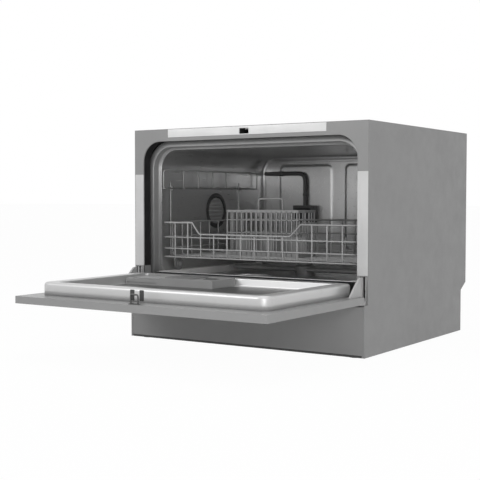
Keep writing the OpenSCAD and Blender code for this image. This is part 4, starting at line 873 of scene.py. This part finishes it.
def makeCutlery():
    x, y, low, top, wall, slat = (cutlery[k] for k in ("x", "y", "low", "top", "wall", "slat"))
    half = slat / 2
    # closed bands: tray wall, the rim and two rails, each a square section round the outline
    bands = [(low, low + cutlery["tray"]), (top - cutlery["rim"], top)]
    bands += [(z - 1, z + 1) for z in cutlery["rails"]]
    outer = roundedLoop(x, y, 4, 4)
    inner = roundedLoop((x[0] + wall, x[1] - wall), (y[0] + wall, y[1] - wall), 3, 4)
    parts = [loopSolid(np.stack([raiseOutline(outer, z0, "z"), raiseOutline(outer, z1, "z"),
                                 raiseOutline(inner, z1, "z"), raiseOutline(inner, z0, "z")], 1))
             for z0, z1 in bands]
    parts.append(softBox((x[0] + 0.4, x[1] - 0.4), (y[0] + 0.4, y[1] - 0.4), (low, low + 1.6), 4, 0.4))
    span = (low + 2, top - 2)
    for at in np.linspace(x[0] + 4, x[1] - 4, cutlery["slatsX"]):
        for side in (y[0], y[1] - wall):
            parts.append(softBox((at - half, at + half), (side, side + wall), span, 0.4, 0.2))
    for at in np.linspace(y[0] + 6, y[1] - 6, cutlery["slatsY"]):
        for side in (x[0], x[1] - wall):
            parts.append(softBox((side, side + wall), (at - half, at + half), span, 0.4, 0.2))
    middle, cell, thin = sum(y) / 2, (x[1] - x[0]) / cutlery["cells"], cutlery["divider"]
    walls = [((x[0] + cell * i - thin, x[0] + cell * i + thin), (y[0] + 1, y[1] - 1)) for i in (1, 2)]
    walls.append(((x[0] + 1, x[1] - 1), (middle - thin, middle + thin)))
    parts += [softBox(across, along, (low + 1, low + cutlery["dividerTop"]), 0.3, 0.3)
              for across, along in walls]
    left, right = x[0] + cell, x[1] - cell
    foot, grip = top - 16, cutlery["handle"] - 2.4
    path = roundCorners([[left, middle, foot], [left, middle, grip], [right, middle, grip],
                         [right, middle, foot]], 7, 5)
    parts.append(tube(path, cutlery["handleWire"], 10))
    makePiece("cutleryHolder", parts, finishes["cutlery_plastic"], "cutlery_basket",
              ["cutlery_basket"])


# Spray arm: a flat blade whose width and height fall towards its round tips, on a turned cap

spray = {"x": 0, "y": 10, "low": 134, "high": 145, "length": 370, "wide": 19, "tip": 12, "cap": 22, "jets": 5}


def makeSpray():
    # ring at each x: y = w cos a, z = mid + h sin a, w and h closing as sqrt(1 - s^2) over each tip
    length, tip, cap, low, high = (spray[k] for k in ("length", "tip", "cap", "low", "high"))
    half, sides = length / 2, 24
    ends = half - tip * (1 - np.sin(np.linspace(0, math.pi / 2, 7)))
    x = np.concatenate([-ends[::-1], np.linspace(-half + tip + 8, half - tip - 8, 23), ends])
    past = np.clip((np.abs(x) - (half - tip)) / tip, 0, 1)
    close = np.sqrt(np.maximum(1 - past**2, 0.002))
    wide = (tip + (spray["wide"] - tip) * (1 - np.abs(x) / half)) * close
    tall = (high - low) / 2 * np.minimum(1, close * 1.3)
    a = np.linspace(0, 2 * math.pi, sides, endpoint=False)
    flat = np.sign(np.sin(a)) * np.abs(np.sin(a))**0.6
    points = np.stack([np.broadcast_to(x[:, None] + spray["x"], (len(x), sides)),
                       spray["y"] + wide[:, None] * np.cos(a), (low + high) / 2 + tall[:, None] * flat], -1)
    blade = [solid(points)]
    blade.append(turned([(13, low - 0.8), (cap, low - 0.8), (cap, high + 1), (cap - 4, high + 3.6),
                         (13, high + 4.2)], (spray["x"], spray["y"]), sides=40))
    jet = [(1.5, high - 0.6), (1.5, high + 0.2), (2.6, high + 0.2), (3.2, high - 0.6)]
    for side in (-1, 1):
        for i in range(1, spray["jets"] + 1):
            at = (spray["x"] + side * (i * length / 12 + 14), spray["y"] + (i % 2 * 6 - 3))
            blade.append(hoop(jet, at, sides=16))
    makePiece("sprayBlade", blade, finishes["grey_plastic"], "spray_arm", ["spray_arm"])


# Small parts: feet, rear louvres and screws, detergent lid and rinse cap

small = {"feetX": 245, "feetY": (-225, 195), "foot": 15, "rear": 248.5, "slotZ": 300, "slotPitch": 12,
         "slots": 5, "slotHalf": 80, "hood": 2.4, "screw": 3.2, "screwX": 262, "screwZ": (130, 230, 330, 425),
         "topScrewX": (-160, 0, 160), "topScrewZ": 428}


def screwHead(centre, level, axis):
    # a domed head with a flat rim, standing out of its sheet
    r = small["screw"]
    dome = [(0.1, 1.7), (r * 0.5, 1.6), (r * 0.85, 1.1), (r, 0.5), (r, 0.0), (0.1, 0.0)]
    return turned([(radius, level + rise) for radius, rise in dome], centre, axis, 20)


def makeSmallParts():
    r = small["foot"]
    foot = [(0.1, 0), (r - 1.6, 0), (r, 0.7), (r, 1.8), (r - 0.8, 2.4), (4, 2.4), (4, 20), (0.1, 20)]
    feet = [turned(foot, (x, y), sides=36) for x in (-small["feetX"], small["feetX"]) for y in small["feetY"]]
    makePiece("feet", feet, finishes["black_rubber"], "cabinet", ["levelling_feet"])
    rear, across = small["rear"], small["slotHalf"] + 2
    heights = [small["slotZ"] + i * small["slotPitch"] + 4 for i in range(small["slots"])]
    hoods = [softBox((-across, across), (rear - 0.3, rear + 0.9), (z, z + small["hood"]), 0.8, 0.5, "y")
             for z in heights]
    for x in (-small["screwX"], small["screwX"]):
        hoods += [screwHead((x, z), rear, "y") for z in small["screwZ"]]
    hoods += [screwHead((x, small["topScrewZ"]), rear, "y") for x in small["topScrewX"]]
    makePiece("rearHoods", hoods, finishes["zinc_steel"], "cabinet")
    low, high = nodeBox("detergent_lid")
    lid = [softBox(*zip(low, high), 3, 0.5)]
    makePiece("lid", lid, finishes["grey_plastic"], "detergent_lid", ["detergent_lid"])
    low, high = nodeBox("rinse_cap")
    centre, radius, top = (low[:2] + high[:2]) / 2, (high[0] - low[0]) / 2, high[2]
    grip = radius - 4
    body = [(0.1, low[2]), (radius, low[2]), (radius, top - 2.4), (radius - 1, top - 1.5), (0.1, top - 1.5)]
    cap = [turned(body, centre, sides=40),
           softBox((centre[0] - grip, centre[0] + grip), (centre[1] - 1.5, centre[1] + 1.5), (top - 2, top),
                   0.8, 0.3)]
    makePiece("rinseCap", cap, finishes["riser_plastic"], "rinse_cap", ["rinse_cap"])


makeVent()
makeRiser()
makeCutlery()
makeSpray()
makeSmallParts()
print("fittings dressed")


# Floor, light and backdrop

studio = {"floorSize": 60, "floorDrop": 0.0004, "floorLevel": 0.95, "paper": 0.97, "dim": 0.42}
lamps = {
    "key": {"place": (-1500, -2600, 1900), "size": 1.5, "power": 26},
    "fill": {"place": (2600, -1300, 1300), "size": 1.8, "power": 4.5},
    "front": {"place": (1900, -2400, 700), "size": 1.4, "power": 22},
    "above": {"place": (200, -300, 2400), "size": 1.6, "power": 12},
}


def makeFloor():
    # white to the camera, to gloss and to glass, while light that falls on it still shows the shadow
    half, z = studio["floorSize"] / 2, -studio["floorDrop"]
    mesh = bpy.data.meshes.new("floor")
    mesh.from_pydata([(-half, -half, z), (half, -half, z), (half, half, z), (-half, half, z)],
                     [], [(0, 1, 2, 3)])
    f = Finish("floorPaper")
    level = studio["floorLevel"]
    f.finish(f.blend(f.noise(3, 2), grey(level), grey(level * 0.99)), f.noise(8, 2).spread(0, 1, 0.9, 0.95))
    paper = f.node("ShaderNodeEmission", {}, {"Color": (1, 1, 1, 1), "Strength": 1.0})
    mixed = f.node("ShaderNodeMixShader", {}, {0: f.whiteRays() * studio["paper"], 1: f.shader.outputs[0],
                                               2: paper.outputs[0]})
    f.tree.links.new(mixed.outputs[0], f.output.inputs["Surface"])
    mesh.materials.append(f.material)
    floor = bpy.data.objects.new("floor", mesh)
    bpy.context.scene.collection.objects.link(floor)


def makeLight():
    # each lamp looks at the middle of the floor; the world is white to the camera and dim to the object
    for name, lamp in lamps.items():
        data = bpy.data.lights.new(name, "AREA")
        data.shape, data.size, data.energy = "SQUARE", lamp["size"], lamp["power"]
        light = bpy.data.objects.new(name, data)
        light.location = toFrame(lamp["place"])
        light.rotation_euler = light.location.to_track_quat("Z", "Y").to_euler()
        bpy.context.scene.collection.objects.link(light)
    world = bpy.data.worlds.new("world")
    bpy.context.scene.world = world
    world.use_nodes = True
    sky = Nodes(world.node_tree)
    strength = sky.whiteRays().spread(0.0, 1.0, studio["dim"])
    backdrop = sky.node("ShaderNodeBackground", {}, {"Color": (1, 1, 1, 1), "Strength": strength})
    sky.node("ShaderNodeOutputWorld", {}, {"Surface": backdrop.outputs[0]})


makeFloor()
makeLight()
bpy.context.scene.view_settings.view_transform = "Standard"
print("floor and light ready")
